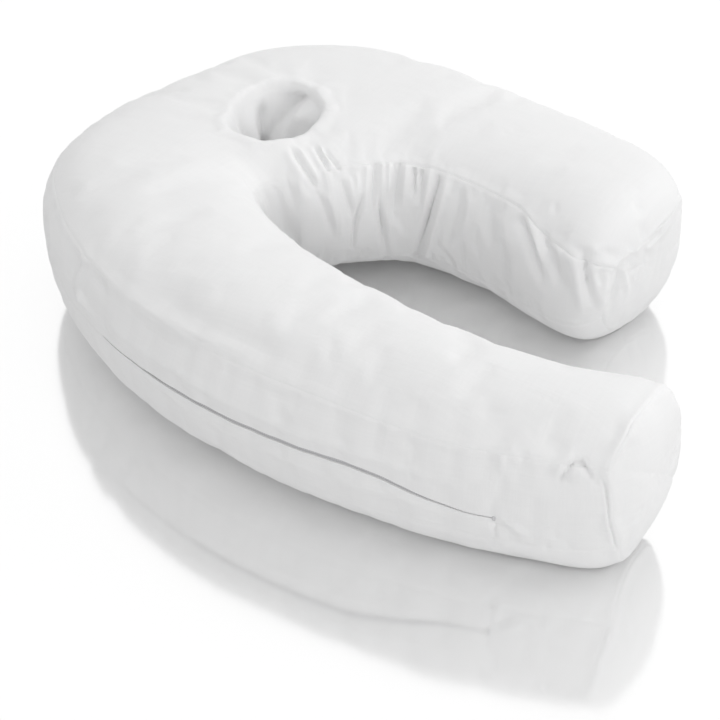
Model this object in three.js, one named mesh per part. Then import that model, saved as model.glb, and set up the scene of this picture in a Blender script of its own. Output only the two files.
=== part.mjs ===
// Side-sleeper pillow in the form of a horseshoe, with one ear hole, lying flat on a surface.
// Millimetres. +X points to the open ends of the arms, +Y to the wide far arm, +Z up, Z = 0 is the surface.
import * as THREE from 'three';

// Heights and forms of a section across an arm
const HEIGHT = 140;            // top of the crown
const WIDEST_HEIGHT = 72;      // height at which the side walls stand out most
const BASE_SINK = 6;           // how much of the round underside is pressed flat by the weight
const UNDER_FULLNESS = 2.4;    // 2 is a round underside, more is a squarer one
const ROW_FULLNESS = 2.6;      // spreads the grid rows over the section
const TIP_FULLNESS = 4;        // how square the closed ends are
const TIP_TUCK = 11;           // how far the foot of each closed end is drawn in

// Cloth and seams
const CLOTH = 1.6;             // thickness of each sewn-on cover
const CLEAR = 0.4;             // space kept between two pieces
const SEAM_ANGLE = 3;          // width of the seam groove beside a cover, as an angle of the section

// Lines across the arms, from the near tip round the bend to the far tip, with the crown's fullness
const CROSS_LINES = [
  { outer: [322, -145], inner: [316, -36], crown: 2.3 },
  { outer: [265, -168], inner: [250, -60], crown: 2.3 },
  { outer: [190, -192], inner: [178, -65], crown: 2.3 },
  { outer: [110, -204], inner: [104, -52], crown: 2.3 },
  { outer: [30, -206], inner: [36, -40], crown: 2.35 },
  { outer: [-60, -193], inner: [-22, -25], crown: 2.4 },
  { outer: [-150, -161], inner: [-64, -8], crown: 2.5 },
  { outer: [-240, -105], inner: [-97, 9], crown: 2.6 },
  { outer: [-305, -32], inner: [-116, 26], crown: 2.7 },
  { outer: [-324, 68], inner: [-111, 45], crown: 2.8 },
  { outer: [-316, 165], inner: [-88, 56], crown: 2.8 },
  { outer: [-290, 256], inner: [-70, 70], crown: 2.8 },
  { outer: [-218, 314], inner: [-52, 90], crown: 2.8 },
  { outer: [-120, 321], inner: [-32, 111], crown: 2.8 },
  { outer: [-27, 305], inner: [5, 118], crown: 2.7 },
  { outer: [58, 293], inner: [53, 111], crown: 2.6 },
  { outer: [126, 271], inner: [107, 94], crown: 2.6 },
  { outer: [190, 231], inner: [167, 84], crown: 2.6 },
];
const LAST = CROSS_LINES.length - 1;

// Stretches of the grid along the arms, in cross lines, with the number of columns in each
const STRETCHES = [
  { from: 1, to: 1.44, columns: 2 },
  { from: 1.44, to: 5.73, columns: 16 },
  { from: 5.73, to: 7, columns: 5 },
  { from: 7, to: 9.5, columns: 9 },
  { from: 9.5, to: 11, columns: 11 },
  { from: 11, to: 13.6, columns: 22 },
  { from: 13.6, to: LAST - 1, columns: 10 },
];
const TIP_SHARES = [0.45, 0.76, 0.93, 0.945, 0.975, 0.995];   // half-width shares at which a tip has columns
const PANEL_COLUMNS = 3;                                      // of those, how many lie in the end panel

// Rows round a section, as angles from the outer wall over the top; the bands lie between their seams
const OUTER_BAND = { low: -28, high: 27 };
const INNER_BAND = { high: 153, low: 208 };
const TOP_ROWS = [42, 51, 60, 70, 79, 88, 94, 100, 106, 112, 119, 126, 133, 139];
const UNDER_ROWS = [222, 232, 241, 248, 254, 260, 266, 272, 283, 295, 306, 318];

// Seams that climb towards the top: the outer one on the near arm, the inner one round the gathers
const OUTER_CLIMB = { angle: 7, from: 1.5, full: 3.5, fall: 8, end: 10 };
const INNER_CLIMB = { angle: 8, from: 9.5, full: 11, fall: 15.4, end: 16.7, drop: 9 };

// Edge of each end panel, as half-width shares at angles round the section
const PANEL_EDGES = {
  near: [[-28, 0.86], [0, 0.92], [27, 0.96], [60, 0.93], [90, 0.9], [120, 0.9], [153, 0.93], [180, 0.93], [208, 0.9],
    [270, 0.84], [332, 0.86]],
  far: [[-28, 0.88], [0, 0.92], [27, 0.88], [60, 0.52], [90, 0.38], [125, 0.38], [153, 0.58], [180, 0.7], [208, 0.72],
    [270, 0.8], [332, 0.88]],
};
const PANEL_GAP = 0.015;       // share between a panel's edge and the covers beside it

// Concealed zip in the outer wall, in cross lines from its end stop, with its height at both ends
const ZIP = { from: 1.44, to: 5.73, low: 52, high: 69, riseFrom: 1.6, riseTo: 2.9, slit: 2.8, tape: 1.6 };
const SEWN_SLIT = 1;           // width of the seam where the outer bands are sewn to each other
const ZIP_STOP = { length: 7, width: 1.8, depth: 1.8, proud: 0.5 };

// Ear hole: its round mouth, the grid square that it takes out, and its narrow pleated waist
const EAR = { line: 10.34, halfLines: 0.7, rowFrom: 88, rowTo: 119, radius: 47, reach: 2.2 };
const EAR_CORNER = { turn: -68, width: 24, share: 0.17 };    // the mouth is drawn out to one side, where a pleat starts
const EAR_WALL = [
  { share: 0.9, depth: 2 },
  { share: 0.78, depth: 8, sleeve: true },
  { share: 0.68, depth: 18, sleeve: true },
  { share: 0.58, depth: 34, sleeve: true },
  { share: 0.48, depth: 54, sleeve: true },
];
const EAR_PLEATS = { count: 5, share: 0.13 };

// Creases of the gathered inner wall, in cross lines, deepest at half height
const GATHERS = [
  { line: 11.25, depth: 1.2, width: 0.06, lean: 0 },
  { line: 11.5, depth: 1.6, width: 0.06, lean: 0 },
  { line: 11.82, depth: 1.2, width: 0.07, lean: 0 },
  { line: 12.15, depth: 2, width: 0.07, lean: 0 },
  { line: 12.57, depth: 3, width: 0.08, lean: 0.03 },
  { line: 12.9, depth: 1.6, width: 0.07, lean: 0.05 },
  { line: 13.3, depth: 1.6, width: 0.07, lean: 0.1 },
  { line: 13.65, depth: 3, width: 0.08, lean: 0.24 },
  { line: 14.5, depth: 1.4, width: 0.2, lean: 0.1 },
  { line: 15.37, depth: 2, width: 0.2, lean: 0.1 },
  { line: 16.3, depth: 2, width: 0.15, lean: 0 },
];

// Pinched folds that run over the top from the ear hole to the inner wall
const PINCHES = [
  { from: [-138, 78], to: [-99, 52], depth: 1.4, width: 5 },
  { from: [-134, 88], to: [-86, 60], depth: 2.4, width: 5 },
  { from: [-124, 98], to: [-84, 79], depth: 2.6, width: 5 },
  { from: [-114, 104], to: [-82, 97], depth: 2, width: 5 },
];

const WHITE = 0xf0f0ee;

// A curve through one end of every cross line
function edgeCurve(end) {
  const points = CROSS_LINES.map((line) => new THREE.Vector3(line[end][0], line[end][1], 0));
  return new THREE.CatmullRomCurve3(points, false, 'catmullrom', 0.5);
}
const OUTER_EDGE = edgeCurve('outer');
const INNER_EDGE = edgeCurve('inner');

function smoothStep(low, high, value) {
  return THREE.MathUtils.smoothstep(value, low, high);
}

// Share of the full half-width and half-height at a place along the arms: falls to 0 at each tip
function tipShare(line) {
  const inward = Math.min(line, LAST - line, 1);
  return (1 - (1 - inward) ** TIP_FULLNESS) ** (1 / TIP_FULLNESS);
}

function lineAtTipShare(share) {
  return 1 - (1 - share ** TIP_FULLNESS) ** (1 / TIP_FULLNESS);
}

function crownAt(line) {
  const index = Math.min(Math.floor(line), LAST - 1);
  const between = line - index;
  return THREE.MathUtils.lerp(CROSS_LINES[index].crown, CROSS_LINES[index + 1].crown, between);
}

// The foot of a closed end leans in towards the arm
function middleOf(line) {
  return OUTER_EDGE.getPoint(line / LAST).add(INNER_EDGE.getPoint(line / LAST)).multiplyScalar(0.5);
}

function footTuck(line, height) {
  const isNear = line < LAST / 2;
  const inward = isNear ? line : LAST - line;
  if (inward >= 1 || height >= WIDEST_HEIGHT) {
    return new THREE.Vector3();
  }
  const tip = isNear ? 0 : LAST;
  const direction = middleOf(isNear ? 1 : LAST - 1).sub(middleOf(tip)).normalize();
  return direction.multiplyScalar(TIP_TUCK * (1 - inward) ** 2 * (1 - height / WIDEST_HEIGHT) ** 2);
}

// Place across a section, 1 at the outer wall and -1 at the inner wall, of a row's angle
function acrossOfAngle(angle) {
  const cosine = Math.cos(THREE.MathUtils.degToRad(angle));
  return Math.sign(cosine) * Math.abs(cosine) ** (2 / ROW_FULLNESS);
}

// A point of the smooth outside, by its place along the arms, across them, and on the top or underside
function skinPoint(line, across, onTop) {
  const outer = OUTER_EDGE.getPoint(line / LAST);
  const inner = INNER_EDGE.getPoint(line / LAST);
  const share = tipShare(line);
  const point = outer.clone().add(inner).multiplyScalar(0.5);
  point.addScaledVector(outer.clone().sub(inner), 0.5 * share * across);
  const fullness = onTop ? crownAt(line) : UNDER_FULLNESS;
  const rise = Math.max(1 - Math.abs(across) ** fullness, 0) ** (1 / fullness);
  const reach = onTop ? HEIGHT - WIDEST_HEIGHT : -(WIDEST_HEIGHT + BASE_SINK);
  point.z = Math.max(WIDEST_HEIGHT + reach * rise * share, 0);
  return point.add(footTuck(line, point.z));
}

// Columns along the arms, without the two poles in the middle of the end panels
function listColumns() {
  const near = TIP_SHARES.map(lineAtTipShare);
  const far = near.map((line) => LAST - line).reverse();
  const between = [];
  for (const stretch of STRETCHES) {
    for (let i = 0; i < stretch.columns; i += 1) {
      between.push(stretch.from + ((stretch.to - stretch.from) * i) / stretch.columns);
    }
  }
  return [...near, ...between, LAST - 1, ...far];
}
const COLUMNS = listColumns();

// Rows round the section; each zip row opens from the sewn seam to the slit along the zip
const ROWS = [
  { name: 'underSeamOuter', angle: OUTER_BAND.low - SEAM_ANGLE },
  { name: 'outerLow', angle: OUTER_BAND.low },
  { name: 'outerLower', angle: -17 },
  { name: 'zipLow', angle: 0, zipSide: -1 },
  { name: 'zipHigh', angle: 0, zipSide: 1 },
  { name: 'outerMiddle', angle: 5 },
  { name: 'outerUpper', angle: 16 },
  { name: 'outerHigh', angle: OUTER_BAND.high, climb: OUTER_CLIMB },
  { name: 'topSeamOuter', angle: OUTER_BAND.high + SEAM_ANGLE, climb: OUTER_CLIMB },
  ...TOP_ROWS.map((angle) => ({ name: `top${angle}`, angle })),
  { name: 'topSeamInner', angle: INNER_BAND.high - SEAM_ANGLE, climb: INNER_CLIMB },
  { name: 'innerHigh', angle: INNER_BAND.high, climb: INNER_CLIMB },
  { name: 'innerUpper', angle: 167 },
  { name: 'innerMiddle', angle: 182 },
  { name: 'innerLower', angle: 196 },
  { name: 'innerLow', angle: INNER_BAND.low },
  { name: 'underSeamInner', angle: INNER_BAND.low + SEAM_ANGLE },
  ...UNDER_ROWS.map((angle) => ({ name: `under${angle}`, angle })),
];
const ROW_COUNT = ROWS.length;
const rowNamed = (name) => ROWS.findIndex((row) => row.name === name);

// Columns of the zip, of the ear hole and of the panels' edges
const nearestColumn = (line) => COLUMNS.reduce(
  (best, value, index) => (Math.abs(value - line) < Math.abs(COLUMNS[best] - line) ? index : best), 0);
const ZIP_COLUMNS = { from: nearestColumn(ZIP.from), to: nearestColumn(ZIP.to) };
const EAR_COLUMNS = { from: nearestColumn(EAR.line - EAR.halfLines), to: nearestColumn(EAR.line + EAR.halfLines) };
const BAND_COLUMNS = { from: PANEL_COLUMNS, to: COLUMNS.length - 1 - PANEL_COLUMNS };

// Angle of a height in the lower half of the outer wall, where the zip runs
function angleOfHeight(height) {
  const drop = (WIDEST_HEIGHT - height) / (WIDEST_HEIGHT + BASE_SINK);
  const across = (1 - drop ** UNDER_FULLNESS) ** (1 / UNDER_FULLNESS);
  return -THREE.MathUtils.radToDeg(Math.acos(across ** (ROW_FULLNESS / 2)));
}

function rowAngle(row, column) {
  const line = COLUMNS[column];
  if (row.zipSide) {
    const open = column >= ZIP_COLUMNS.from && column <= ZIP_COLUMNS.to;
    const middle = ZIP.low + (ZIP.high - ZIP.low) * smoothStep(ZIP.riseFrom, ZIP.riseTo, line);
    return angleOfHeight(middle + (row.zipSide * (open ? ZIP.slit : SEWN_SLIT)) / 2);
  }
  if (row.climb) {
    const { angle, from, full, fall, end, drop = 0 } = row.climb;
    const climb = angle * smoothStep(from, full, line) - (angle + drop) * smoothStep(fall, end, line);
    return row.angle < 90 ? row.angle + climb : row.angle - climb;
  }
  return row.angle;
}

// Moves grid places near the ear hole so that its square of the grid becomes a round mouth
const EAR_CENTRE_ACROSS = (acrossOfAngle(EAR.rowFrom) + acrossOfAngle(EAR.rowTo)) / 2;
const EAR_HALF_ACROSS = (acrossOfAngle(EAR.rowFrom) - acrossOfAngle(EAR.rowTo)) / 2;
const EAR_HALF_LINES = (COLUMNS[EAR_COLUMNS.to] - COLUMNS[EAR_COLUMNS.from]) / 2;
const EAR_CENTRE_LINE = (COLUMNS[EAR_COLUMNS.to] + COLUMNS[EAR_COLUMNS.from]) / 2;

// How far a small step along and across the arm moves a point at the ear hole's centre
function stepAtEar(lineStep, acrossStep) {
  const centre = skinPoint(EAR_CENTRE_LINE, EAR_CENTRE_ACROSS, true);
  return skinPoint(EAR_CENTRE_LINE + lineStep, EAR_CENTRE_ACROSS + acrossStep, true).sub(centre);
}
const EAR_STEP = 0.05;
const EAR_ALONG = stepAtEar(EAR_STEP, 0).divideScalar(EAR_STEP);
const EAR_ACROSS = stepAtEar(0, EAR_STEP).divideScalar(EAR_STEP);
const EAR_TURN = EAR_ALONG.x * EAR_ACROSS.y - EAR_ALONG.y * EAR_ACROSS.x;

// How much the mouth is drawn out in a direction
function earCorner(x, y) {
  const turn = THREE.MathUtils.radToDeg(Math.atan2(y, x)) - EAR_CORNER.turn;
  const offset = THREE.MathUtils.euclideanModulo(turn + 180, 360) - 180;
  return 1 + EAR_CORNER.share * Math.exp(-((offset / EAR_CORNER.width) ** 2));
}

function roundEarMouth(line, across) {
  const along = (line - EAR_CENTRE_LINE) / EAR_HALF_LINES;
  const aside = (across - EAR_CENTRE_ACROSS) / EAR_HALF_ACROSS;
  const squareRadius = Math.max(Math.abs(along), Math.abs(aside));
  if (squareRadius < 1e-6 || squareRadius >= EAR.reach) {
    return { line, across };
  }
  const pull = 1 - smoothStep(1, EAR.reach, squareRadius);
  const reach = new THREE.Vector2(
    along * EAR_HALF_LINES * EAR_ALONG.x + aside * EAR_HALF_ACROSS * EAR_ACROSS.x,
    along * EAR_HALF_LINES * EAR_ALONG.y + aside * EAR_HALF_ACROSS * EAR_ACROSS.y);
  reach.setLength(EAR.radius * squareRadius * earCorner(reach.x, reach.y));
  const roundLine = EAR_CENTRE_LINE + (reach.x * EAR_ACROSS.y - reach.y * EAR_ACROSS.x) / EAR_TURN;
  const roundAcross = EAR_CENTRE_ACROSS + (EAR_ALONG.x * reach.y - EAR_ALONG.y * reach.x) / EAR_TURN;
  return {
    line: THREE.MathUtils.lerp(line, roundLine, pull),
    across: THREE.MathUtils.lerp(across, roundAcross, pull),
  };
}

// Half-width share of a panel's edge at an angle
function panelEdge(angle, isNear) {
  const stops = isNear ? PANEL_EDGES.near : PANEL_EDGES.far;
  const after = Math.max(stops.findIndex((stop) => stop[0] > angle), 1);
  const [[lowAngle, lowShare], [highAngle, highShare]] = [stops[after - 1], stops[after]];
  return lowShare + (highShare - lowShare) * smoothStep(lowAngle, highAngle, angle);
}

// Columns of a tip follow its panel's edge
function tipLine(line, angle) {
  const isNear = line < LAST / 2;
  const share = tipShare(line);
  if (share >= 0.999) {
    return line;
  }
  const turned = angle > 332 ? angle - 360 : angle;
  const edge = panelEdge(turned, isNear);
  const panelShare = TIP_SHARES[PANEL_COLUMNS - 1];
  const rest = (1 - edge - PANEL_GAP) / (1 - panelShare - PANEL_GAP);
  const moved = share <= panelShare + 1e-6
    ? (share * edge) / panelShare
    : edge + PANEL_GAP + (share - panelShare - PANEL_GAP) * rest;
  const inward = lineAtTipShare(moved);
  return isNear ? inward : LAST - inward;
}

// The smooth grid of points, and the outward direction at each
function gridPoints() {
  return COLUMNS.map((line, column) => ROWS.map((row) => {
    const angle = rowAngle(row, column);
    const place = roundEarMouth(tipLine(line, angle), acrossOfAngle(angle));
    return skinPoint(place.line, place.across, angle >= 0 && angle <= 180);
  }));
}
const SKIN = gridPoints();
const NEAR_POLE = skinPoint(0, 0, true);
const FAR_POLE = skinPoint(LAST, 0, true);

function gridNormals() {
  return COLUMNS.map((line, column) => ROWS.map((row, index) => {
    const before = column > 0 ? SKIN[column - 1][index] : NEAR_POLE;
    const after = column < COLUMNS.length - 1 ? SKIN[column + 1][index] : FAR_POLE;
    const lower = SKIN[column][(index + ROW_COUNT - 1) % ROW_COUNT];
    const upper = SKIN[column][(index + 1) % ROW_COUNT];
    const along = after.clone().sub(before);
    return along.cross(upper.clone().sub(lower)).normalize().negate();
  }));
}
const NORMALS = gridNormals();
const poleNormal = (line, sign) => {
  const across = OUTER_EDGE.getPoint(line / LAST).sub(INNER_EDGE.getPoint(line / LAST));
  return new THREE.Vector3(-across.y, across.x, 0).normalize().multiplyScalar(sign);
};
const NEAR_NORMAL = poleNormal(0, 1);
const FAR_NORMAL = poleNormal(LAST, -1);

// Depth of the gathers, pinches and end folds below the smooth skin
function distanceToPinch(point, pinch) {
  const start = new THREE.Vector2(...pinch.from);
  const run = new THREE.Vector2(...pinch.to).sub(start);
  const offset = new THREE.Vector2(point.x, point.y).sub(start);
  const share = THREE.MathUtils.clamp(offset.dot(run) / run.lengthSq(), 0, 1);
  return offset.addScaledVector(run, -share).length();
}

function foldDepth(column, index) {
  const row = ROWS[index];
  const point = SKIN[column][index];
  let depth = 0;
  if (row.angle >= INNER_BAND.high && row.angle <= INNER_BAND.low) {
    const middle = (INNER_BAND.high + INNER_BAND.low) / 2;
    const above = (middle - row.angle) / (INNER_BAND.low - middle);
    for (const gather of GATHERS) {
      const offset = COLUMNS[column] - gather.line - gather.lean * above;
      depth += gather.depth * Math.exp(-((offset / gather.width) ** 2));
    }
  }
  if (row.angle > OUTER_BAND.high && row.angle < INNER_BAND.high) {
    for (const pinch of PINCHES) {
      depth += pinch.depth * Math.exp(-((distanceToPinch(point, pinch) / pinch.width) ** 2));
    }
  }
  return depth;
}

// Which cover lies over a grid point, and how far the filled body lies below the finished cloth there
function isUnderCover(column, index) {
  const angle = ROWS[index].angle;
  const inBands = column >= BAND_COLUMNS.from && column <= BAND_COLUMNS.to;
  const onOuter = angle >= OUTER_BAND.low && angle <= OUTER_BAND.high;
  const onInner = angle >= INNER_BAND.high && angle <= INNER_BAND.low;
  return !inBands || onOuter || onInner;
}

function coverDepth(column, index) {
  const onZip = Boolean(ROWS[index].zipSide) && column >= ZIP_COLUMNS.from && column <= ZIP_COLUMNS.to;
  const cover = isUnderCover(column, index) ? CLOTH + CLEAR : 0;
  return onZip ? cover + ZIP.tape + CLEAR : cover;
}

function pointBelowSkin(column, index, depth) {
  const down = depth + foldDepth(column, index);
  const point = SKIN[column][index].clone().addScaledVector(NORMALS[column][index], -down);
  point.z = Math.max(point.z, 0);
  return point;
}

// Closed mesh from points and faces; a face is a list of three or four points in order
class SolidBuilder {
  constructor() {
    this.positions = [];
    this.faces = [];
  }

  add(point) {
    this.positions.push(point.x, point.y, point.z);
    return this.positions.length / 3 - 1;
  }

  face(corners) {
    for (let i = 1; i < corners.length - 1; i += 1) {
      this.faces.push(corners[0], corners[i], corners[i + 1]);
    }
  }

  geometry() {
    const geometry = new THREE.BufferGeometry();
    geometry.setAttribute('position', new THREE.Float32BufferAttribute(this.positions, 3));
    geometry.setIndex(this.faces);
    geometry.computeVertexNormals();
    return geometry;
  }
}

function clothMesh(name, geometry, colour = WHITE, roughness = 0.9, metalness = 0) {
  const material = new THREE.MeshStandardMaterial({ color: colour, roughness, metalness });
  const mesh = new THREE.Mesh(geometry, material);
  mesh.name = name;
  return mesh;
}

// Grid squares that the ear hole takes out of the top and of the underside
const EAR_TOP = { from: rowNamed(`top${EAR.rowFrom}`), to: rowNamed(`top${EAR.rowTo}`) };
const EAR_UNDER = { from: rowNamed(`under${360 - EAR.rowTo}`), to: rowNamed(`under${360 - EAR.rowFrom}`) };

function isEarSquare(column, index) {
  const inColumns = column >= EAR_COLUMNS.from && column < EAR_COLUMNS.to;
  const onTop = index >= EAR_TOP.from && index < EAR_TOP.to;
  const onUnder = index >= EAR_UNDER.from && index < EAR_UNDER.to;
  return inColumns && (onTop || onUnder);
}

function isEarInside(column, index) {
  const inColumns = column > EAR_COLUMNS.from && column < EAR_COLUMNS.to;
  const onTop = index > EAR_TOP.from && index < EAR_TOP.to;
  const onUnder = index > EAR_UNDER.from && index < EAR_UNDER.to;
  return inColumns && (onTop || onUnder);
}

// Grid places round the mouth of the ear hole, and the matching ones round its lower mouth
function earLoop() {
  const loop = [];
  const { from, to } = EAR_COLUMNS;
  for (let column = from; column < to; column += 1) {
    loop.push([column, EAR_TOP.from]);
  }
  for (let index = EAR_TOP.from; index < EAR_TOP.to; index += 1) {
    loop.push([to, index]);
  }
  for (let column = to; column > from; column -= 1) {
    loop.push([column, EAR_TOP.to]);
  }
  for (let index = EAR_TOP.to; index > EAR_TOP.from; index -= 1) {
    loop.push([from, index]);
  }
  return loop.map(([column, index]) => ({
    column,
    top: index,
    under: EAR_UNDER.to - (index - EAR_TOP.from),
  }));
}
const EAR_LOOP = earLoop();

function centreOf(points) {
  const centre = new THREE.Vector3();
  points.forEach((point) => centre.add(point));
  return centre.divideScalar(points.length);
}
const EAR_TOP_CENTRE = centreOf(EAR_LOOP.map((place) => SKIN[place.column][place.top]));
const EAR_UNDER_CENTRE = centreOf(EAR_LOOP.map((place) => SKIN[place.column][place.under]));

// Levels of the hole's wall from the top mouth down to the lower mouth
const EAR_LEVELS = [
  ...EAR_WALL.map((level) => ({ ...level, fromTop: true })),
  ...EAR_WALL.map((level) => ({ ...level, fromTop: false })).reverse(),
];

// A point of the hole's wall at one level, moved outward into the filling by a distance
function earWallPoint(level, place, order, outward) {
  const top = SKIN[place.column][place.top];
  const under = SKIN[place.column][place.under];
  const mouth = level.fromTop ? top : under;
  const centre = level.fromTop ? EAR_TOP_CENTRE : EAR_UNDER_CENTRE;
  const turn = (2 * Math.PI * EAR_PLEATS.count * order) / EAR_LOOP.length;
  const pleat = EAR_PLEATS.share * Math.cos(turn) * smoothStep(8, 50, level.depth);
  const arm = new THREE.Vector2(mouth.x - centre.x, mouth.y - centre.y);
  const reach = arm.length();
  arm.multiplyScalar(level.share + pleat + outward / reach);
  const height = level.fromTop ? mouth.z - level.depth : under.z + level.depth;
  return new THREE.Vector3(centre.x + arm.x, centre.y + arm.y, height);
}

// The filled body: one closed skin with its covers' recesses and the ear hole through it
function buildBody() {
  const solid = new SolidBuilder();
  const ids = COLUMNS.map((line, column) => ROWS.map((row, index) => (
    isEarInside(column, index) ? -1 : solid.add(pointBelowSkin(column, index, coverDepth(column, index))))));
  const coverInset = CLOTH + CLEAR;
  const nearPole = solid.add(NEAR_POLE.clone().addScaledVector(NEAR_NORMAL, -coverInset));
  const farPole = solid.add(FAR_POLE.clone().addScaledVector(FAR_NORMAL, -coverInset));
  const last = COLUMNS.length - 1;
  for (let index = 0; index < ROW_COUNT; index += 1) {
    const next = (index + 1) % ROW_COUNT;
    solid.face([nearPole, ids[0][next], ids[0][index]]);
    solid.face([farPole, ids[last][index], ids[last][next]]);
    for (let column = 0; column < last; column += 1) {
      if (!isEarSquare(column, index)) {
        solid.face([ids[column][index], ids[column][next], ids[column + 1][next], ids[column + 1][index]]);
      }
    }
  }
  const rings = [
    EAR_LOOP.map((place) => ids[place.column][place.top]),
    ...EAR_LEVELS.map((level) => EAR_LOOP.map((place, order) => (
      solid.add(earWallPoint(level, place, order, level.sleeve ? coverInset : 0))))),
    EAR_LOOP.map((place) => ids[place.column][place.under]),
  ];
  for (let ring = 0; ring < rings.length - 1; ring += 1) {
    for (let order = 0; order < EAR_LOOP.length; order += 1) {
      const next = (order + 1) % EAR_LOOP.length;
      solid.face([rings[ring][order], rings[ring + 1][order], rings[ring + 1][next], rings[ring][next]]);
    }
  }
  return clothMesh('pillow_body', solid.geometry());
}

// A cover cut from the skin between two columns and two rows, with both faces and its four edges
function buildPatch(name, columns, rowFrom, rowTo, outerDepth, thickness, colour, roughness) {
  const solid = new SolidBuilder();
  const rowsAcross = rowTo - rowFrom;
  const grid = (depth) => {
    const ids = [];
    for (let column = columns.from; column <= columns.to; column += 1) {
      const line = [];
      for (let index = rowFrom; index <= rowTo; index += 1) {
        line.push(solid.add(pointBelowSkin(column, index, depth)));
      }
      ids.push(line);
    }
    return ids;
  };
  const outer = grid(outerDepth);
  const inner = grid(outerDepth + thickness);
  const last = outer.length - 1;
  for (let column = 0; column < last; column += 1) {
    for (let index = 0; index < rowsAcross; index += 1) {
      solid.face([outer[column][index], outer[column][index + 1], outer[column + 1][index + 1], outer[column + 1][index]]);
      solid.face([inner[column][index], inner[column + 1][index], inner[column + 1][index + 1], inner[column][index + 1]]);
    }
    solid.face([outer[column][0], outer[column + 1][0], inner[column + 1][0], inner[column][0]]);
    solid.face([outer[column + 1][rowsAcross], outer[column][rowsAcross], inner[column][rowsAcross], inner[column + 1][rowsAcross]]);
  }
  for (let index = 0; index < rowsAcross; index += 1) {
    solid.face([outer[0][index + 1], outer[0][index], inner[0][index], inner[0][index + 1]]);
    solid.face([outer[last][index], outer[last][index + 1], inner[last][index + 1], inner[last][index]]);
  }
  return clothMesh(name, solid.geometry(), colour, roughness);
}

// The round-cornered panel that closes the end of an arm
function buildEndPanel(name, pole, poleDirection, columnList, isNear) {
  const solid = new SolidBuilder();
  const face = (depth) => ({
    pole: solid.add(pole.clone().addScaledVector(poleDirection, -depth)),
    rings: columnList.map((column) => ROWS.map((row, index) => solid.add(pointBelowSkin(column, index, depth)))),
  });
  const outer = face(0);
  const inner = face(CLOTH);
  const join = (corners) => solid.face(isNear ? corners : corners.slice().reverse());
  const rim = columnList.length - 1;
  for (let index = 0; index < ROW_COUNT; index += 1) {
    const next = (index + 1) % ROW_COUNT;
    join([outer.pole, outer.rings[0][next], outer.rings[0][index]]);
    join([inner.pole, inner.rings[0][index], inner.rings[0][next]]);
    for (let ring = 0; ring < rim; ring += 1) {
      join([outer.rings[ring][index], outer.rings[ring][next], outer.rings[ring + 1][next], outer.rings[ring + 1][index]]);
      join([inner.rings[ring][index], inner.rings[ring + 1][index], inner.rings[ring + 1][next], inner.rings[ring][next]]);
    }
    join([outer.rings[rim][index], outer.rings[rim][next], inner.rings[rim][next], inner.rings[rim][index]]);
  }
  return clothMesh(name, solid.geometry());
}

// The pleated cloth tube that lines the ear hole
function buildEarSleeve() {
  const solid = new SolidBuilder();
  const levels = EAR_LEVELS.filter((level) => level.sleeve);
  const wall = (outward) => levels.map((level) => EAR_LOOP.map((place, order) => (
    solid.add(earWallPoint(level, place, order, outward)))));
  const inside = wall(0);
  const outside = wall(CLOTH);
  const last = levels.length - 1;
  for (let order = 0; order < EAR_LOOP.length; order += 1) {
    const next = (order + 1) % EAR_LOOP.length;
    for (let level = 0; level < last; level += 1) {
      solid.face([inside[level][order], inside[level + 1][order], inside[level + 1][next], inside[level][next]]);
      solid.face([outside[level][order], outside[level][next], outside[level + 1][next], outside[level + 1][order]]);
    }
    solid.face([inside[0][order], inside[0][next], outside[0][next], outside[0][order]]);
    solid.face([inside[last][order], outside[last][order], outside[last][next], inside[last][next]]);
  }
  return clothMesh('ear_sleeve', solid.geometry());
}

// The small end stop of the zip, set in the slit beside the end of the tape
function buildZipStop() {
  const low = rowNamed('zipLow');
  const at = (column, index) => pointBelowSkin(column, index, 0);
  const column = ZIP_COLUMNS.from;
  const centre = at(column, low).add(at(column, low + 1)).multiplyScalar(0.5);
  const along = at(column + 1, low).sub(at(column, low)).normalize();
  const outward = NORMALS[column][low].clone();
  const across = new THREE.Vector3().crossVectors(outward, along).normalize();
  outward.crossVectors(along, across);
  centre.addScaledVector(along, -(ZIP_STOP.length / 2 + CLEAR));
  centre.addScaledVector(outward, ZIP_STOP.proud - ZIP_STOP.depth / 2);
  const stop = clothMesh('zip_end_stop', new THREE.BoxGeometry(ZIP_STOP.length, ZIP_STOP.width, ZIP_STOP.depth),
    0x9a9a9a, 0.4, 0.8);
  stop.quaternion.setFromRotationMatrix(new THREE.Matrix4().makeBasis(along, across, outward));
  stop.position.copy(centre);
  return stop;
}

// The pieces, moved so that the middle of their outline lies over the origin
const group = new THREE.Group();
group.add(buildBody());
group.add(buildPatch('inner_band', BAND_COLUMNS, rowNamed('innerHigh'), rowNamed('innerLow'), 0, CLOTH));
group.add(buildPatch('outer_band_upper', BAND_COLUMNS, rowNamed('zipHigh'), rowNamed('outerHigh'), 0, CLOTH));
group.add(buildPatch('outer_band_lower', BAND_COLUMNS, rowNamed('outerLow'), rowNamed('zipLow'), 0, CLOTH));
const panelColumns = [...Array(PANEL_COLUMNS).keys()];
group.add(buildEndPanel('near_end_panel', NEAR_POLE, NEAR_NORMAL, panelColumns, true));
const farPanelColumns = panelColumns.map((column) => COLUMNS.length - 1 - column);
group.add(buildEndPanel('far_end_panel', FAR_POLE, FAR_NORMAL, farPanelColumns, false));
group.add(buildEarSleeve());
group.add(buildPatch('zip_tape', ZIP_COLUMNS, rowNamed('zipLow'), rowNamed('zipHigh'), CLOTH + CLEAR, ZIP.tape, 0xb8b8b8, 0.6));
group.add(buildZipStop());

const middle = new THREE.Box3().setFromObject(group).getCenter(new THREE.Vector3());
group.position.set(-middle.x, -middle.y, 0);

export default group;
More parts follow.
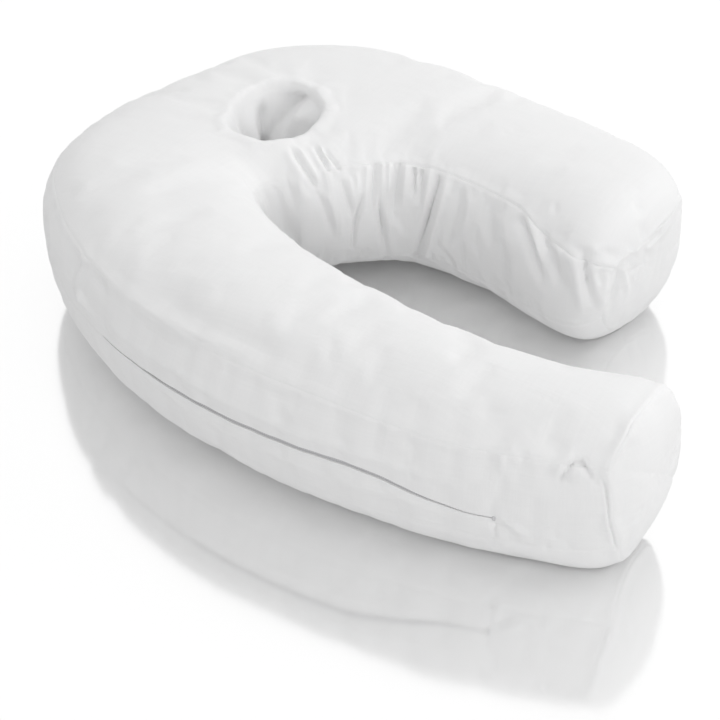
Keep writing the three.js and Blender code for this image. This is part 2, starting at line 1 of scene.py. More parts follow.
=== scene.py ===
"""Side-sleeper pillow in the form of a horseshoe, with one ear hole, in white cotton.

Metres, +X to the open ends of the arms, +Y to the wide far arm, +Z up, Z = 0 is the surface.
The skin is worked out in millimetres on cross lines and rows, and moved to the row frame at the end.
"""
import math

import bpy
import numpy as np
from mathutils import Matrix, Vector


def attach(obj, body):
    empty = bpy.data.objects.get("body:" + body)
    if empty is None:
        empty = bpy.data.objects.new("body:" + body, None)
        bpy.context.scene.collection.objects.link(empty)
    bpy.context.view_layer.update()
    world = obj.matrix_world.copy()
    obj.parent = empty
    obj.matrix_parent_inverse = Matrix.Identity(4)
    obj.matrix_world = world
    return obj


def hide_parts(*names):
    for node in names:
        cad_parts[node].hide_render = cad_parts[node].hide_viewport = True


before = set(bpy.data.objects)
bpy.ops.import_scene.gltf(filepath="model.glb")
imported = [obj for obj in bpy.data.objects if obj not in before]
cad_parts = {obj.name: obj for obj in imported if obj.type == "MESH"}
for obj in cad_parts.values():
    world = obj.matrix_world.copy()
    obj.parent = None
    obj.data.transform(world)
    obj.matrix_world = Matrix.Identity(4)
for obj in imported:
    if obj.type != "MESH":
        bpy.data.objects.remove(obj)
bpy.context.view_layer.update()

# Camera at the photograph's angle
CAMERA_AIM = (0.00232, -0.05776, 0.0)
CAMERA_AZIMUTH = math.radians(34.0)
CAMERA_ELEVATION = math.radians(33.48)
CAMERA_DISTANCE = 1.570
SENSOR_MM = 36.0
LENS_MM = 94.2
FRAME_PIXELS = 720


def camera_axes():
    a, e = CAMERA_AZIMUTH, CAMERA_ELEVATION
    back = np.array([math.sin(a) * math.cos(e), -math.cos(a) * math.cos(e), math.sin(e)])
    right = np.array([math.cos(a), math.sin(a), 0.0])
    return right, np.cross(back, right), back


CAMERA_RIGHT, CAMERA_UP, CAMERA_BACK = camera_axes()
CAMERA_EYE = np.array(CAMERA_AIM) + CAMERA_DISTANCE * CAMERA_BACK


def make_camera():
    data = bpy.data.cameras.new("photo_camera")
    data.sensor_width = SENSOR_MM
    data.lens = LENS_MM
    data.clip_start = 0.05
    data.clip_end = 50
    camera = bpy.data.objects.new("photo_camera", data)
    bpy.context.scene.collection.objects.link(camera)
    camera.location = CAMERA_EYE
    camera.rotation_mode = "QUATERNION"
    camera.rotation_quaternion = Vector(-CAMERA_BACK).to_track_quat("-Z", "Y")
    bpy.context.scene.camera = camera


def to_pixels(points):
    """Picture column and row, and distance from the camera, of points in metres."""
    offset = points - CAMERA_EYE
    depth = -(offset @ CAMERA_BACK)
    focal = LENS_MM / SENSOR_MM * FRAME_PIXELS
    column = FRAME_PIXELS / 2 + focal * (offset @ CAMERA_RIGHT) / depth
    row = FRAME_PIXELS / 2 - focal * (offset @ CAMERA_UP) / depth
    return column, row, depth


# Heights and forms of a section across an arm, in millimetres
HEIGHT = 140.0
WIDEST_HEIGHT = 72.0
BASE_SINK = 6.0
UNDER_FULLNESS = 2.4
ROW_FULLNESS = 2.6
TIP_FULLNESS = 4.0
TIP_TUCK = 11.0
CLOTH = 1.4
CLEAR = 0.6
FRAME_SHIFT = np.array([2.32, -57.76, 0.0])

# Lines across the arms, from the near tip round to the far one: outer x and y, inner x and y, fullness
CROSS_LINES = np.array([
    [322, -145, 316, -36, 2.3],
    [265, -168, 250, -60, 2.3],
    [190, -192, 178, -65, 2.3],
    [110, -204, 104, -52, 2.3],
    [30, -206, 36, -40, 2.35],
    [-60, -193, -22, -25, 2.4],
    [-150, -161, -64, -8, 2.5],
    [-240, -105, -97, 9, 2.6],
    [-305, -32, -116, 26, 2.7],
    [-324, 68, -111, 45, 2.8],
    [-316, 165, -88, 56, 2.8],
    [-290, 256, -70, 70, 2.8],
    [-218, 314, -52, 90, 2.8],
    [-120, 321, -32, 111, 2.8],
    [-27, 305, 5, 118, 2.7],
    [58, 293, 53, 111, 2.6],
    [126, 271, 107, 94, 2.6],
    [190, 231, 167, 84, 2.6],
])
LAST = len(CROSS_LINES) - 1

# Rows round a section are angles from the outer wall over the top
OUTER_LOW, OUTER_HIGH = -28.0, 27.0
INNER_HIGH, INNER_LOW = 153.0, 208.0
OUTER_CLIMB = {"angle": 7.0, "from": 1.5, "full": 3.5, "fall": 8.0, "end": 10.0}
INNER_CLIMB = {"angle": 8.0, "from": 9.5, "full": 11.0, "fall": 15.4, "end": 16.7, "drop": 9.0}

# Edge of each end panel, as half-width shares at angles round the section
PANEL_SHARE = 0.93
TIP_SHARE = 0.998
NEAR_EDGE = [(-28, 0.86), (0, 0.92), (27, 0.96), (60, 0.93), (90, 0.9), (120, 0.9), (153, 0.93), (180, 0.93),
             (208, 0.9), (270, 0.84), (332, 0.86)]
FAR_EDGE = [(-28, 0.88), (0, 0.92), (27, 0.88), (60, 0.52), (90, 0.38), (125, 0.38), (153, 0.58), (180, 0.7),
            (208, 0.72), (270, 0.8), (332, 0.88)]

# Concealed zip
ZIP_FROM, ZIP_TO = 1.44, 5.73
ZIP_WIDE_FROM, ZIP_WIDE_TO = 2.6, 4.2
ZIP_LOW, ZIP_HIGH = 52.0, 69.0
ZIP_RISE = (1.6, 2.9)
ZIP_SLIT = (1.0, 3.6)
SEWN_SLIT = 0.06

# Ear hole: the square of lines and angles that it takes out, and its round mouth
EAR_LINES = (9.636, 11.0)
EAR_ANGLES = (88.0, 119.0)
EAR_RADIUS = 47.0
EAR_CORNER = {"turn": -68.0, "width": 24.0, "share": 0.17}
EAR_REACH = 2.2
MOUTH_REACH = 36.0
MOUTH_HEIGHTS = (80, 110)
MOUTH_SMOOTHING = 4.5
SEARCH_LINES = (9.0, 11.8)
SEARCH_ANGLES = (74, 140)
# Outline of the mouth by the photograph's own columns and rows
EAR_OUTLINE = [
    (224, 125.5), (230, 113), (240, 98), (254, 86.5), (268, 80.5), (282, 79.5), (296, 82), (316, 92.5),
    (325, 104.5), (322, 114), (313, 125), (302, 133.5), (282, 140.5), (272, 142.5), (261.5, 143.5),
    (250, 139), (237, 132.5),
]
EAR_WALL = [(1.0, 0.0), (0.965, 2.0), (0.915, 7.0), (0.85, 16.0), (0.76, 32.0), (0.64, 54.0)]
LINING_DEPTH = 7.0


def smooth_step(low, high, value):
    share = np.clip((np.asarray(value, float) - low) / (high - low), 0, 1)
    return share * share * (3 - 2 * share)


def curve_through(points, place):
    """A smooth curve through points, at places counted in points from 0."""
    points = np.asarray(points, float)
    before = np.vstack([2 * points[:1] - points[1:2], points, 2 * points[-1:] - points[-2:-1]])
    place = np.clip(np.asarray(place, float), 0, len(points) - 1)
    index = np.minimum(place.astype(int), len(points) - 2)
    w = (place - index)[..., None]
    p0, p1, p2, p3 = (before[index + i] for i in range(4))
    t0, t1 = 0.5 * (p2 - p0), 0.5 * (p3 - p1)
    return (2 * p1 - 2 * p2 + t0 + t1) * w**3 + (-3 * p1 + 3 * p2 - 2 * t0 - t1) * w**2 + t0 * w + p1


def tip_share(line):
    """How much of an arm's full width and height is left at a line near its tip."""
    inward = np.minimum(np.minimum(line, LAST - line), 1)
    return np.clip(1 - (1 - inward) ** TIP_FULLNESS, 0, 1) ** (1 / TIP_FULLNESS)


def line_at_share(share):
    return 1 - (1 - share**TIP_FULLNESS) ** (1 / TIP_FULLNESS)


def across_of(angle):
    cosine = np.cos(np.radians(angle))
    return np.sign(cosine) * np.abs(cosine) ** (2 / ROW_FULLNESS)


def arm_axis(beside, tip):
    """Direction along an arm, away from its tip."""
    run = (beside[:2] + beside[2:4] - tip[:2] - tip[2:4]) / 2
    return run / np.linalg.norm(run)


NEAR_AXIS = arm_axis(CROSS_LINES[1], CROSS_LINES[0])
FAR_AXIS = arm_axis(CROSS_LINES[-2], CROSS_LINES[-1])


def skin_point(line, across, on_top):
    """The smooth outside, in millimetres on the cross lines' own frame."""
    line, across, on_top = np.broadcast_arrays(line, across, on_top)
    ends = curve_through(CROSS_LINES, line)
    outer, inner = ends[..., 0:2], ends[..., 2:4]
    share = tip_share(line)
    flat = (outer + inner) / 2 + (outer - inner) * (0.5 * share * across)[..., None]
    fullness = np.where(on_top, np.interp(line, np.arange(LAST + 1), CROSS_LINES[:, 4]), UNDER_FULLNESS)
    rise = np.clip(1 - np.abs(across) ** fullness, 0, 1) ** (1 / fullness)
    reach = np.where(on_top, HEIGHT - WIDEST_HEIGHT, -(WIDEST_HEIGHT + BASE_SINK))
    height = np.maximum(WIDEST_HEIGHT + reach * rise * share, 0)
    inward = np.minimum(np.minimum(line, LAST - line), 1)
    tuck = TIP_TUCK * (1 - inward) ** 2 * np.clip(1 - height / WIDEST_HEIGHT, 0, 1) ** 2
    axis = np.where((line < LAST / 2)[..., None], NEAR_AXIS, FAR_AXIS)
    flat = flat + axis * tuck[..., None]
    return np.concatenate([flat, height[..., None]], axis=-1)


# The ear hole's square of the grid becomes a round mouth
EAR_MID = sum(EAR_LINES) / 2
EAR_HALF = (EAR_LINES[1] - EAR_LINES[0]) / 2
EAR_SIDES = across_of(np.array(EAR_ANGLES))
EAR_MID_ACROSS = EAR_SIDES.mean()
EAR_HALF_ACROSS = (EAR_SIDES[0] - EAR_SIDES[1]) / 2
STEP = 0.05
EAR_HOME = skin_point(EAR_MID, EAR_MID_ACROSS, True)
EAR_ALONG = ((skin_point(EAR_MID + STEP, EAR_MID_ACROSS, True) - EAR_HOME) / STEP)[:2]
EAR_ASIDE = ((skin_point(EAR_MID, EAR_MID_ACROSS + STEP, True) - EAR_HOME) / STEP)[:2]
EAR_TURN = EAR_ALONG[0] * EAR_ASIDE[1] - EAR_ALONG[1] * EAR_ASIDE[0]


def round_ear_mouth(line, across):
    """Places near the ear hole's square, moved so that the square becomes a rounded mouth."""
    along = (line - EAR_MID) / EAR_HALF
    aside = (across - EAR_MID_ACROSS) / EAR_HALF_ACROSS
    square = np.maximum(np.abs(along), np.abs(aside))
    pull = 1 - smooth_step(1, EAR_REACH, square)
    x = along * EAR_HALF * EAR_ALONG[0] + aside * EAR_HALF_ACROSS * EAR_ASIDE[0]
    y = along * EAR_HALF * EAR_ALONG[1] + aside * EAR_HALF_ACROSS * EAR_ASIDE[1]
    off = np.mod(np.degrees(np.arctan2(y, x)) - EAR_CORNER["turn"] + 180, 360) - 180
    corner = 1 + EAR_CORNER["share"] * np.exp(-((off / EAR_CORNER["width"]) ** 2))
    size = EAR_RADIUS * square * corner / np.maximum(np.hypot(x, y), 1e-6)
    x, y = x * size, y * size
    round_line = EAR_MID + (x * EAR_ASIDE[1] - y * EAR_ASIDE[0]) / EAR_TURN
    round_across = EAR_MID_ACROSS + (EAR_ALONG[0] * y - EAR_ALONG[1] * x) / EAR_TURN
    return line + (round_line - line) * pull, across + (round_across - across) * pull


def ring_of(points):
    """Distance from the ear hole's middle by direction, from points round it."""
    turn = np.arctan2(points[:, 1] - EAR_HOME[1], points[:, 0] - EAR_HOME[0])
    order = np.argsort(turn)
    reach = np.hypot(points[:, 0] - EAR_HOME[0], points[:, 1] - EAR_HOME[1])
    return turn[order], reach[order]


def ring_at(ring, turn):
    return np.interp(turn, ring[0], ring[1], period=2 * math.pi)


class Mouth:
    """The ear hole's upper mouth as the photograph shows it: a rounded kite, drawn in at its left side."""

    def __init__(self):
        line, angle = np.meshgrid(np.linspace(*SEARCH_LINES, 141), np.linspace(*SEARCH_ANGLES, 133))
        points = skin_point(line, across_of(angle), np.ones(line.shape, bool)).reshape(-1, 3)
        column, row, depth = to_pixels((points + FRAME_SHIFT) / 1000)
        found = [points[np.argmin(np.hypot(column - x, row - y))] for x, y in EAR_OUTLINE]
        turn, reach = ring_of(np.array(found))
        fine = np.linspace(-math.pi, math.pi, 361)
        reach = ring_at((turn, reach), fine)
        spread = np.exp(-0.5 * (np.arange(-12, 13) / MOUTH_SMOOTHING) ** 2)
        spread /= spread.sum()
        closed = np.concatenate([reach[-13:-1], reach, reach[1:13]])
        self.wanted = fine, np.convolve(closed, spread, "valid")
        side = np.linspace(0, 1, 40)
        still = 0 * side
        (low, high), (start, end) = EAR_LINES, EAR_ANGLES
        lines, turns = low + (high - low) * side, start + (end - start) * side
        loop = []
        edges = [(lines, start + still), (lines, end + still), (low + still, turns), (high + still, turns)]
        for line, angle in edges:
            place = round_ear_mouth(line, across_of(angle))
            loop.append(skin_point(place[0], place[1], np.ones(line.shape, bool)))
        self.present = ring_of(np.concatenate(loop))

    def shape(self, points):
        offset = points[..., :2] - EAR_HOME[:2]
        reach = np.hypot(offset[..., 0], offset[..., 1])
        turn = np.arctan2(offset[..., 1], offset[..., 0])
        present, wanted = ring_at(self.present, turn), ring_at(self.wanted, turn)
        here = 1 - smooth_step(present, present + MOUTH_REACH, reach)
        here = here * smooth_step(*MOUTH_HEIGHTS, points[..., 2])
        size = 1 + (wanted / present - 1) * here
        points = points.copy()
        points[..., :2] = EAR_HOME[:2] + offset * size[..., None]
        return points


MOUTH = Mouth()


LINE_STEP = 0.01
ANGLE_STEP = 0.7
NEAR_ZERO = 1e-5


def skin(line, angle):
    """The smooth outside by line and angle, and the outward direction there."""
    line, angle = np.broadcast_arrays(np.asarray(line, float), np.asarray(angle, float))

    def at(some_line, some_angle):
        turned = np.mod(some_angle, 360)
        on_top = turned <= 180
        place = round_ear_mouth(some_line, across_of(some_angle))
        return MOUTH.shape(skin_point(np.clip(place[0], 0, LAST), place[1], on_top))

    point = at(line, angle)
    low, high = np.maximum(line - LINE_STEP, NEAR_ZERO), np.minimum(line + LINE_STEP, LAST - NEAR_ZERO)
    run = at(high, angle) - at(low, angle)
    turn = at(line, angle + ANGLE_STEP) - at(line, angle - ANGLE_STEP)
    normal = np.cross(turn, run)
    length = np.linalg.norm(normal, axis=-1, keepdims=True)
    return point, normal / np.maximum(length, 1e-9)


def zip_height(line):
    return ZIP_LOW + (ZIP_HIGH - ZIP_LOW) * smooth_step(*ZIP_RISE, line)


def angle_of_height(height):
    drop = (WIDEST_HEIGHT - height) / (WIDEST_HEIGHT + BASE_SINK)
    across = (1 - drop**UNDER_FULLNESS) ** (1 / UNDER_FULLNESS)
    return -np.degrees(np.arccos(across ** (ROW_FULLNESS / 2)))


def zip_angles(line):
    """Angles of the slit's lower and upper edge; beyond its ends they nearly meet."""
    inside = (line >= ZIP_FROM - 1e-6) & (line <= ZIP_TO + 1e-6)
    open_share = smooth_step(ZIP_FROM, ZIP_WIDE_FROM, line) * (1 - smooth_step(ZIP_WIDE_TO, ZIP_TO, line))
    slit = ZIP_SLIT[0] + (ZIP_SLIT[1] - ZIP_SLIT[0]) * open_share
    half = np.where(inside, slit, SEWN_SLIT) / 2
    middle = zip_height(line)
    return angle_of_height(middle - half), angle_of_height(middle + half)


def climb_of(line, climb):
    """How many degrees a seam climbs at a line."""
    up = climb["angle"] * smooth_step(climb["from"], climb["full"], line)
    return up - (climb["angle"] + climb.get("drop", 0)) * smooth_step(climb["fall"], climb["end"], line)


def outer_high(line):
    return OUTER_HIGH + climb_of(line, OUTER_CLIMB)


def inner_high(line):
    return INNER_HIGH - climb_of(line, INNER_CLIMB)


def panel_edge(angle, is_near):
    """Half-width share of a panel's edge at an angle."""
    turned = np.where(angle > 360 + OUTER_LOW, angle - 360, angle)
    total = np.zeros(np.shape(turned))
    for near, stops in ((True, NEAR_EDGE), (False, FAR_EDGE)):
        stops = np.array(stops, float)
        after = np.clip(np.searchsorted(stops[:, 0], turned, side="right"), 1, len(stops) - 1)
        low, high = stops[after - 1], stops[after]
        share = smooth_step(low[..., 0], high[..., 0], turned)
        total = np.where(is_near == near, low[..., 1] + (high[..., 1] - low[..., 1]) * share, total)
    return total


def tip_line(line, angle):
    """Columns of a tip follow its panel's edge."""
    line, angle = np.broadcast_arrays(np.asarray(line, float), np.mod(np.asarray(angle, float), 360))
    is_near = line < LAST / 2
    share = tip_share(line)
    edge = panel_edge(angle, is_near)
    outside = edge + (share - PANEL_SHARE) * ((1 - edge) / (1 - PANEL_SHARE))
    moved = np.where(share <= PANEL_SHARE + 1e-6, share * edge / PANEL_SHARE, outside)
    inward = line_at_share(np.clip(moved, 0, 1))
    inward = np.where(is_near, inward, LAST - inward)
    return np.where(share >= 0.9995, line, inward)


# Lengths along the arms, for even columns and for the cloth's grain
FINE_LINES = np.linspace(0, LAST, 1701)
MIDDLES = curve_through(CROSS_LINES, FINE_LINES)
MIDDLES = (MIDDLES[:, :2] + MIDDLES[:, 2:4]) / 2
ARM_LENGTH = np.concatenate([[0], np.cumsum(np.linalg.norm(np.diff(MIDDLES, axis=0), axis=1))])


def length_at(line):
    return np.interp(line, FINE_LINES, ARM_LENGTH)


def even_columns(start, end, spacing):
    """Lines from start to end that lie evenly along the arms."""
    first, last = length_at(start), length_at(end)
    count = max(2, int(round((last - first) / spacing)) + 1)
    return np.interp(np.linspace(first, last, count), ARM_LENGTH, FINE_LINES)


def quad(down, c, r, n):
    """The face between rows r and n of column c and the next one, in a grid listed column by column."""
    return c * down + r, c * down + n, (c + 1) * down + n, (c + 1) * down + r


def closed_faces(across, down, is_open=None):
    """Faces of a grid whose rows close round, without the ones that is_open names."""
    places = [(c, r) for c in range(across - 1) for r in range(down)]
    return [quad(down, c, r, (r + 1) % down) for c, r in places if not (is_open and is_open(c, r))]


def capped_tube(rings, around):
    """Faces of a tube that is closed at both ends, in a grid listed ring by ring."""
    last = (rings - 1) * around
    return [*closed_faces(rings, around), tuple(range(around))[::-1], tuple(range(last, last + around))]


def near_index(values, value):
    return int(np.argmin(np.abs(values - value)))


EVEN_SAMPLES = 160


def even_rows(line, low, high, count):
    """Angles that lie evenly over the skin between two angles of one line."""
    angles = np.linspace(low, high, EVEN_SAMPLES)
    points = skin(np.full(EVEN_SAMPLES, line), angles)[0]
    run = np.concatenate([[0], np.cumsum(np.linalg.norm(np.diff(points, axis=0), axis=1))])
    return np.interp(np.linspace(0, run[-1], count), run, angles)


def section_rows(columns, at_zip, counts):
    """Rows of each column between the zip, the seams and the ear hole's angles, even over the skin."""
    turned = [360 - EAR_ANGLES[1], 360 - EAR_ANGLES[0], 360 + OUTER_LOW]
    stops = [OUTER_LOW, *at_zip, outer_high(columns), *EAR_ANGLES, inner_high(columns), INNER_LOW, *turned]
    stops = np.array([np.broadcast_to(stop, len(columns)) for stop in stops]).T
    rows = []
    for line, stop in zip(columns, stops):
        parts = [even_rows(line, stop[i], stop[i + 1], count + 1)[:-1] for i, count in enumerate(counts)]
        rows.append(np.concatenate(parts))
    return np.array(rows)


# Smooth noise that is the same in every run
def lattice(i, j, k, seed):
    """A number from -1 to 1 for a corner of the noise's grid, by fixed whole numbers."""
    n = (i * 374761393 + j * 668265263 + k * 1274126177 + seed * 974711) & 0x7FFFFFFF
    n = ((n ^ (n >> 13)) * 1103515245) & 0x7FFFFFFF
    return ((n ^ (n >> 16)) & 0xFFFF) / 32767.5 - 1


def noise(points, size, seed):
    """Values from about -1 to 1 that change smoothly over the given size; size is one number or three."""
    place = np.asarray(points, float) / np.asarray(size, float) + 1000
    cell = np.floor(place).astype(np.int64)
    w = place - cell
    w = w * w * w * (w * (w * 6 - 15) + 10)
    total = 0
    for corner in range(8):
        bits = (corner & 1, (corner >> 1) & 1, (corner >> 2) & 1)
        share = 1
        for axis, bit in enumerate(bits):
            share = share * (w[..., axis] if bit else 1 - w[..., axis])
        i, j, k = (cell[..., axis] + bit for axis, bit in enumerate(bits))
        total = total + share * lattice(i, j, k, seed)
    return total


def ripple(place, size, seed):
    """Smooth noise along one length."""
    flat = np.zeros(np.shape(place) + (3,))
    flat[..., 0] = place
    return noise(flat, size, seed)


# Folds: height (negative is a crease) and half-width in mm, the share of each end that fades out, the path by
# the photograph's own columns and rows, and the roundness of its form where that isn't the usual one
FOLDS = [
    # pinches from the ear hole down to the gathers
    (-4.2, 2.0, 0.3, 0.1, [(289, 146), (297, 158), (307, 172), (316, 187)]),
    (2.2, 2.8, 0.3, 0.3, [(294, 144), (303, 157), (313, 171), (321, 186)]),
    (2.0, 3.2, 0.3, 0.4, [(283, 148), (291, 162), (302, 177), (311, 190)]),
    (-3.8, 1.7, 0.3, 0.2, [(313, 143), (317, 150), (323, 161), (330, 174)]),
    (2.2, 2.0, 0.3, 0.3, [(318, 145), (325, 156), (333, 170)]),
    (-3.4, 1.8, 0.3, 0.3, [(321, 148), (329, 156), (337, 166), (343, 174)]),
    (1.6, 2.4, 0.3, 0.3, [(308, 146), (315, 158), (324, 174)]),
    (-1.8, 4.0, 0.4, 0.5, [(286, 164), (288, 182), (293, 203)]),
    (1.4, 4.0, 0.4, 0.5, [(296, 176), (302, 190), (308, 206)]),
    (-2.2, 2.6, 0.2, 0.5, [(316, 190), (323, 204), (328, 219), (330, 240)]),
    (1.6, 3.2, 0.2, 0.5, [(324, 190), (331, 206), (336, 222), (338, 240)]),
    # gathers hanging from the inner wall's seam, left to right
    (-3.2, 2.2, 0.2, 0.4, [(341, 178), (344, 192), (349, 206), (354, 222)]),
    (1.8, 2.6, 0.2, 0.5, [(349, 176), (351, 192), (356, 210)]),
    (-4.2, 1.8, 0.3, 0.2, [(363, 190), (360, 206), (355, 222), (352, 252)]),
    (1.6, 2.6, 0.2, 0.5, [(356, 171), (357, 185), (355, 205)]),
    (-1.6, 2.6, 0.3, 0.4, [(327, 196), (331, 216), (333, 240)]),
    (1.2, 3.0, 0.3, 0.4, [(338, 200), (341, 220), (342, 244)]),
    (-3.8, 2.2, 0.05, 0.5, [(374, 163), (374, 180), (373, 205), (371, 220)]),
    (2.0, 2.4, 0.1, 0.6, [(367, 164), (366, 185), (364, 215)]),
    (2.2, 2.4, 0.05, 0.5, [(382, 162), (382, 178), (381, 200)]),
    (-7.0, 1.7, 0.35, 0.02, [(379, 186), (380, 205), (383, 230), (387, 260)], 1.2),
    (1.8, 2.8, 0.4, 0.1, [(386, 196), (388, 225), (393, 258)]),
    (1.4, 3.0, 0.4, 0.1, [(374, 214), (376, 236), (380, 258)]),
    (2.4, 2.2, 0.05, 0.4, [(389, 162), (389, 180), (388, 200)]),
    (-5.6, 2.6, 0.05, 0.5, [(397, 162), (397, 180), (395, 200), (392, 224)]),
    (2.2, 2.8, 0.05, 0.5, [(406, 164), (405, 186), (402, 210)]),
    (-4.4, 1.8, 0.05, 0.5, [(414, 168), (414, 182), (412, 202)]),
    (-4.4, 1.7, 0.05, 0.5, [(421, 169), (421, 184), (418, 204)]),
    (1.6, 1.6, 0.05, 0.5, [(417.5, 168), (417.5, 182), (415, 198)]),
    (2.2, 2.8, 0.05, 0.5, [(430, 172), (428, 190), (422, 215)]),
    (-7.6, 1.8, 0.08, 0.02, [(440, 173), (436, 186), (426, 221), (415, 259)], 1.2),
    (2.4, 3.2, 0.1, 0.1, [(449, 176), (443, 200), (434, 230), (424, 260)]),
    (-1.4, 4.5, 0.2, 0.3, [(462, 184), (455, 215), (447, 246)]),
    (1.0, 4.0, 0.3, 0.4, [(472, 190), (467, 215), (461, 240)]),
    # broad folds of the inner wall towards the far end
    (-5.0, 6.0, 0.2, 0.4, [(516, 212), (526, 234), (536, 266), (546, 294)]),
    (3.6, 5.0, 0.2, 0.4, [(525, 214), (537, 242), (545, 276)]),
    (-4.6, 5.5, 0.2, 0.4, [(538, 222), (547, 250), (556, 276), (564, 296)]),
    (-2, 9.0, 0.3, 0.4, [(487, 200), (489, 225), (492, 250)]),
    (1.75, 8.0, 0.3, 0.4, [(502, 206), (506, 230), (511, 256)]),
    (1.5, 4.0, 0.3, 0.4, [(556, 240), (562, 262), (568, 290)]),
    # the far end's corner, where three seams meet
    (4.4, 4.0, 0.15, 0.5, [(569, 246), (575, 262), (579, 288), (583, 324)]),
    (-5.6, 3.4, 0.2, 0.5, [(580, 242), (584, 258), (588, 285), (592, 310)]),
    (2.8, 3.6, 0.2, 0.4, [(589, 266), (594, 279), (599, 296), (600, 315)]),
    (2.8, 3.6, 0.2, 0.4, [(612, 272), (607, 281), (601, 296), (600, 315)]),
    (-2.0, 3.6, 0.3, 0.3, [(601, 268), (601, 276), (600, 284)]),
    (-3.0, 3.6, 0.2, 0.5, [(619, 268), (616, 282), (610, 304), (606, 318)]),
    (1.4, 3.0, 0.2, 0.5, [(624, 266), (626, 280), (627, 296)]),
    (-1.6, 3.0, 0.3, 0.4, [(554, 200), (556, 216)]),
    (-1.6, 3.0, 0.3, 0.4, [(566, 220), (562, 246)]),
    (1.6, 3.0, 0.3, 0.4, [(590, 243), (597, 256)]),
    (1.5, 4.2, 0.3, 0.4, [(637, 254), (650, 246), (663, 234), (673, 217)]),
    (1.4, 3.8, 0.3, 0.4, [(641, 241), (653, 231), (664, 216), (672, 202)]),
    (-1.2, 3.0, 0.3, 0.4, [(643, 248), (654, 239), (665, 226)]),
    (-2.0, 8.0, 0.4, 0.4, [(632, 200), (640, 208), (646, 218)]),
    # hollow and ridges over the near arm's outer wall
    (-5.4, 8.5, 0.3, 0.5, [(140, 275), (165, 296), (200, 320), (245, 337), (292, 361), (330, 378)]),
    (3.4, 4.5, 0.15, 0.45, [(74, 240), (90, 262), (110, 280), (128, 295), (152, 316), (180, 332),
     (208, 342), (238, 350), (270, 366), (300, 380), (335, 394)]),
    (-1.4, 6.0, 0.3, 0.5, [(158, 330), (190, 346), (220, 358), (250, 372), (290, 388)]),
    (-1.2, 4.0, 0.4, 0.4, [(440, 404), (470, 409), (500, 413), (530, 419)]),
    (1.2, 4.0, 0.4, 0.4, [(388, 393), (425, 401), (465, 404), (505, 409)]),
    (-2.2, 8.0, 0.4, 0.4, [(535, 432), (555, 446), (570, 456)]),
    # ridge over the zip, and the hollow between it and the upper seam
    (2.2, 5.0, 0.1, 0.2, [(98, 315), (130, 342), (186, 379), (235, 406), (290, 431), (350, 452), (410, 472),
     (480, 494)]),
    (-1.2, 8.0, 0.2, 0.4, [(125, 312), (165, 342), (215, 369), (270, 394), (330, 415), (400, 437)]),
    (1.8, 5.5, 0.15, 0.2, [(128, 362), (160, 388), (200, 416), (245, 441), (300, 464), (350, 482),
     (400, 499), (450, 515)]),
    # loose seam at the left bend
    (4.0, 2.8, 0.3, 0.3, [(97, 252), (86, 262), (79, 276), (78, 292), (88, 306), (97, 322)]),
    (-4.2, 4.0, 0.3, 0.5, [(91, 262), (97, 276), (111, 290)]),
    # pucker beside the near end's corner
    (-3.2, 1.2, 0.3, 0.1, [(557, 484), (561, 477), (567, 469), (574, 462), (580, 458)], 1.3),
    (-3.0, 1.2, 0.1, 0.3, [(580, 459), (585, 466), (589, 473), (592, 480)], 1.3),
    (1.8, 3.4, 0.3, 0.3, [(568, 482), (575, 474), (581, 470), (586, 480)]),
    (1.0, 3.0, 0.3, 0.4, [(552, 476), (558, 468), (565, 461)]),
    # its side seam
    (-2.2, 0.9, 0.15, 0.1, [(600, 475), (603, 481), (606, 490), (607, 504), (609, 522), (613, 539),
     (616, 548)], 1.3),
    (1.8, 5.0, 0.2, 0.4, [(600, 472), (614, 458), (624, 442), (638, 424), (656, 408)]),
    (-1.1, 2.2, 0.3, 0.5, [(488, 446), (488, 464)]),
    (1.1, 2.4, 0.2, 0.6, [(501, 446), (501, 480)]),
    (0.9, 2.2, 0.3, 0.5, [(511, 438), (512, 456)]),
    (-1.0, 2.2, 0.3, 0.5, [(521, 450), (523, 466)]),
    (0.9, 2.2, 0.3, 0.5, [(531, 450), (533, 464)]),
    # the small seam under the zip's end, and its creases
    (-2.8, 1.1, 0.1, 0.1, [(494, 521), (495, 545)], 1.3),
    (0.8, 2.0, 0.2, 0.1, [(490, 522), (490, 545)]),
    (-1.4, 3.4, 0.2, 0.5, [(499, 523), (510, 536), (524, 539)]),
    (1.2, 3.4, 0.2, 0.5, [(505, 520), (518, 531), (536, 537)]),
    (2.4, 1.8, 0.1, 0.1, [(489, 544), (494, 546)]),
    (-0.8, 2.0, 0.3, 0.3, [(546, 538), (546, 550)]),
]
FOLD_REACH = 4.0
FOLD_FORM = 1.7
PATH_STEP = 8.0
PATH_ROUNDINGS = 3

# A picture point is placed by the skin's points within some pixels of it that lie at the front
PLACE_PIXELS = 6.0
PLACE_EXTRA = 3.0
PLACE_SPREAD = 3.5
PLACE_DEPTH = 0.05
PLACE_FEWEST = 8


def closer_points(path):
    """A pixel path with points put in, so that it stays on a curved skin."""
    path = np.asarray(path, float)
    points = [path[:1]]
    for start, end in zip(path[:-1], path[1:]):
        count = max(1, int(math.ceil(np.hypot(*(end - start)) / PATH_STEP)))
        points.append(start + (end - start) * (np.arange(1, count + 1) / count)[:, None])
    return np.concatenate(points)


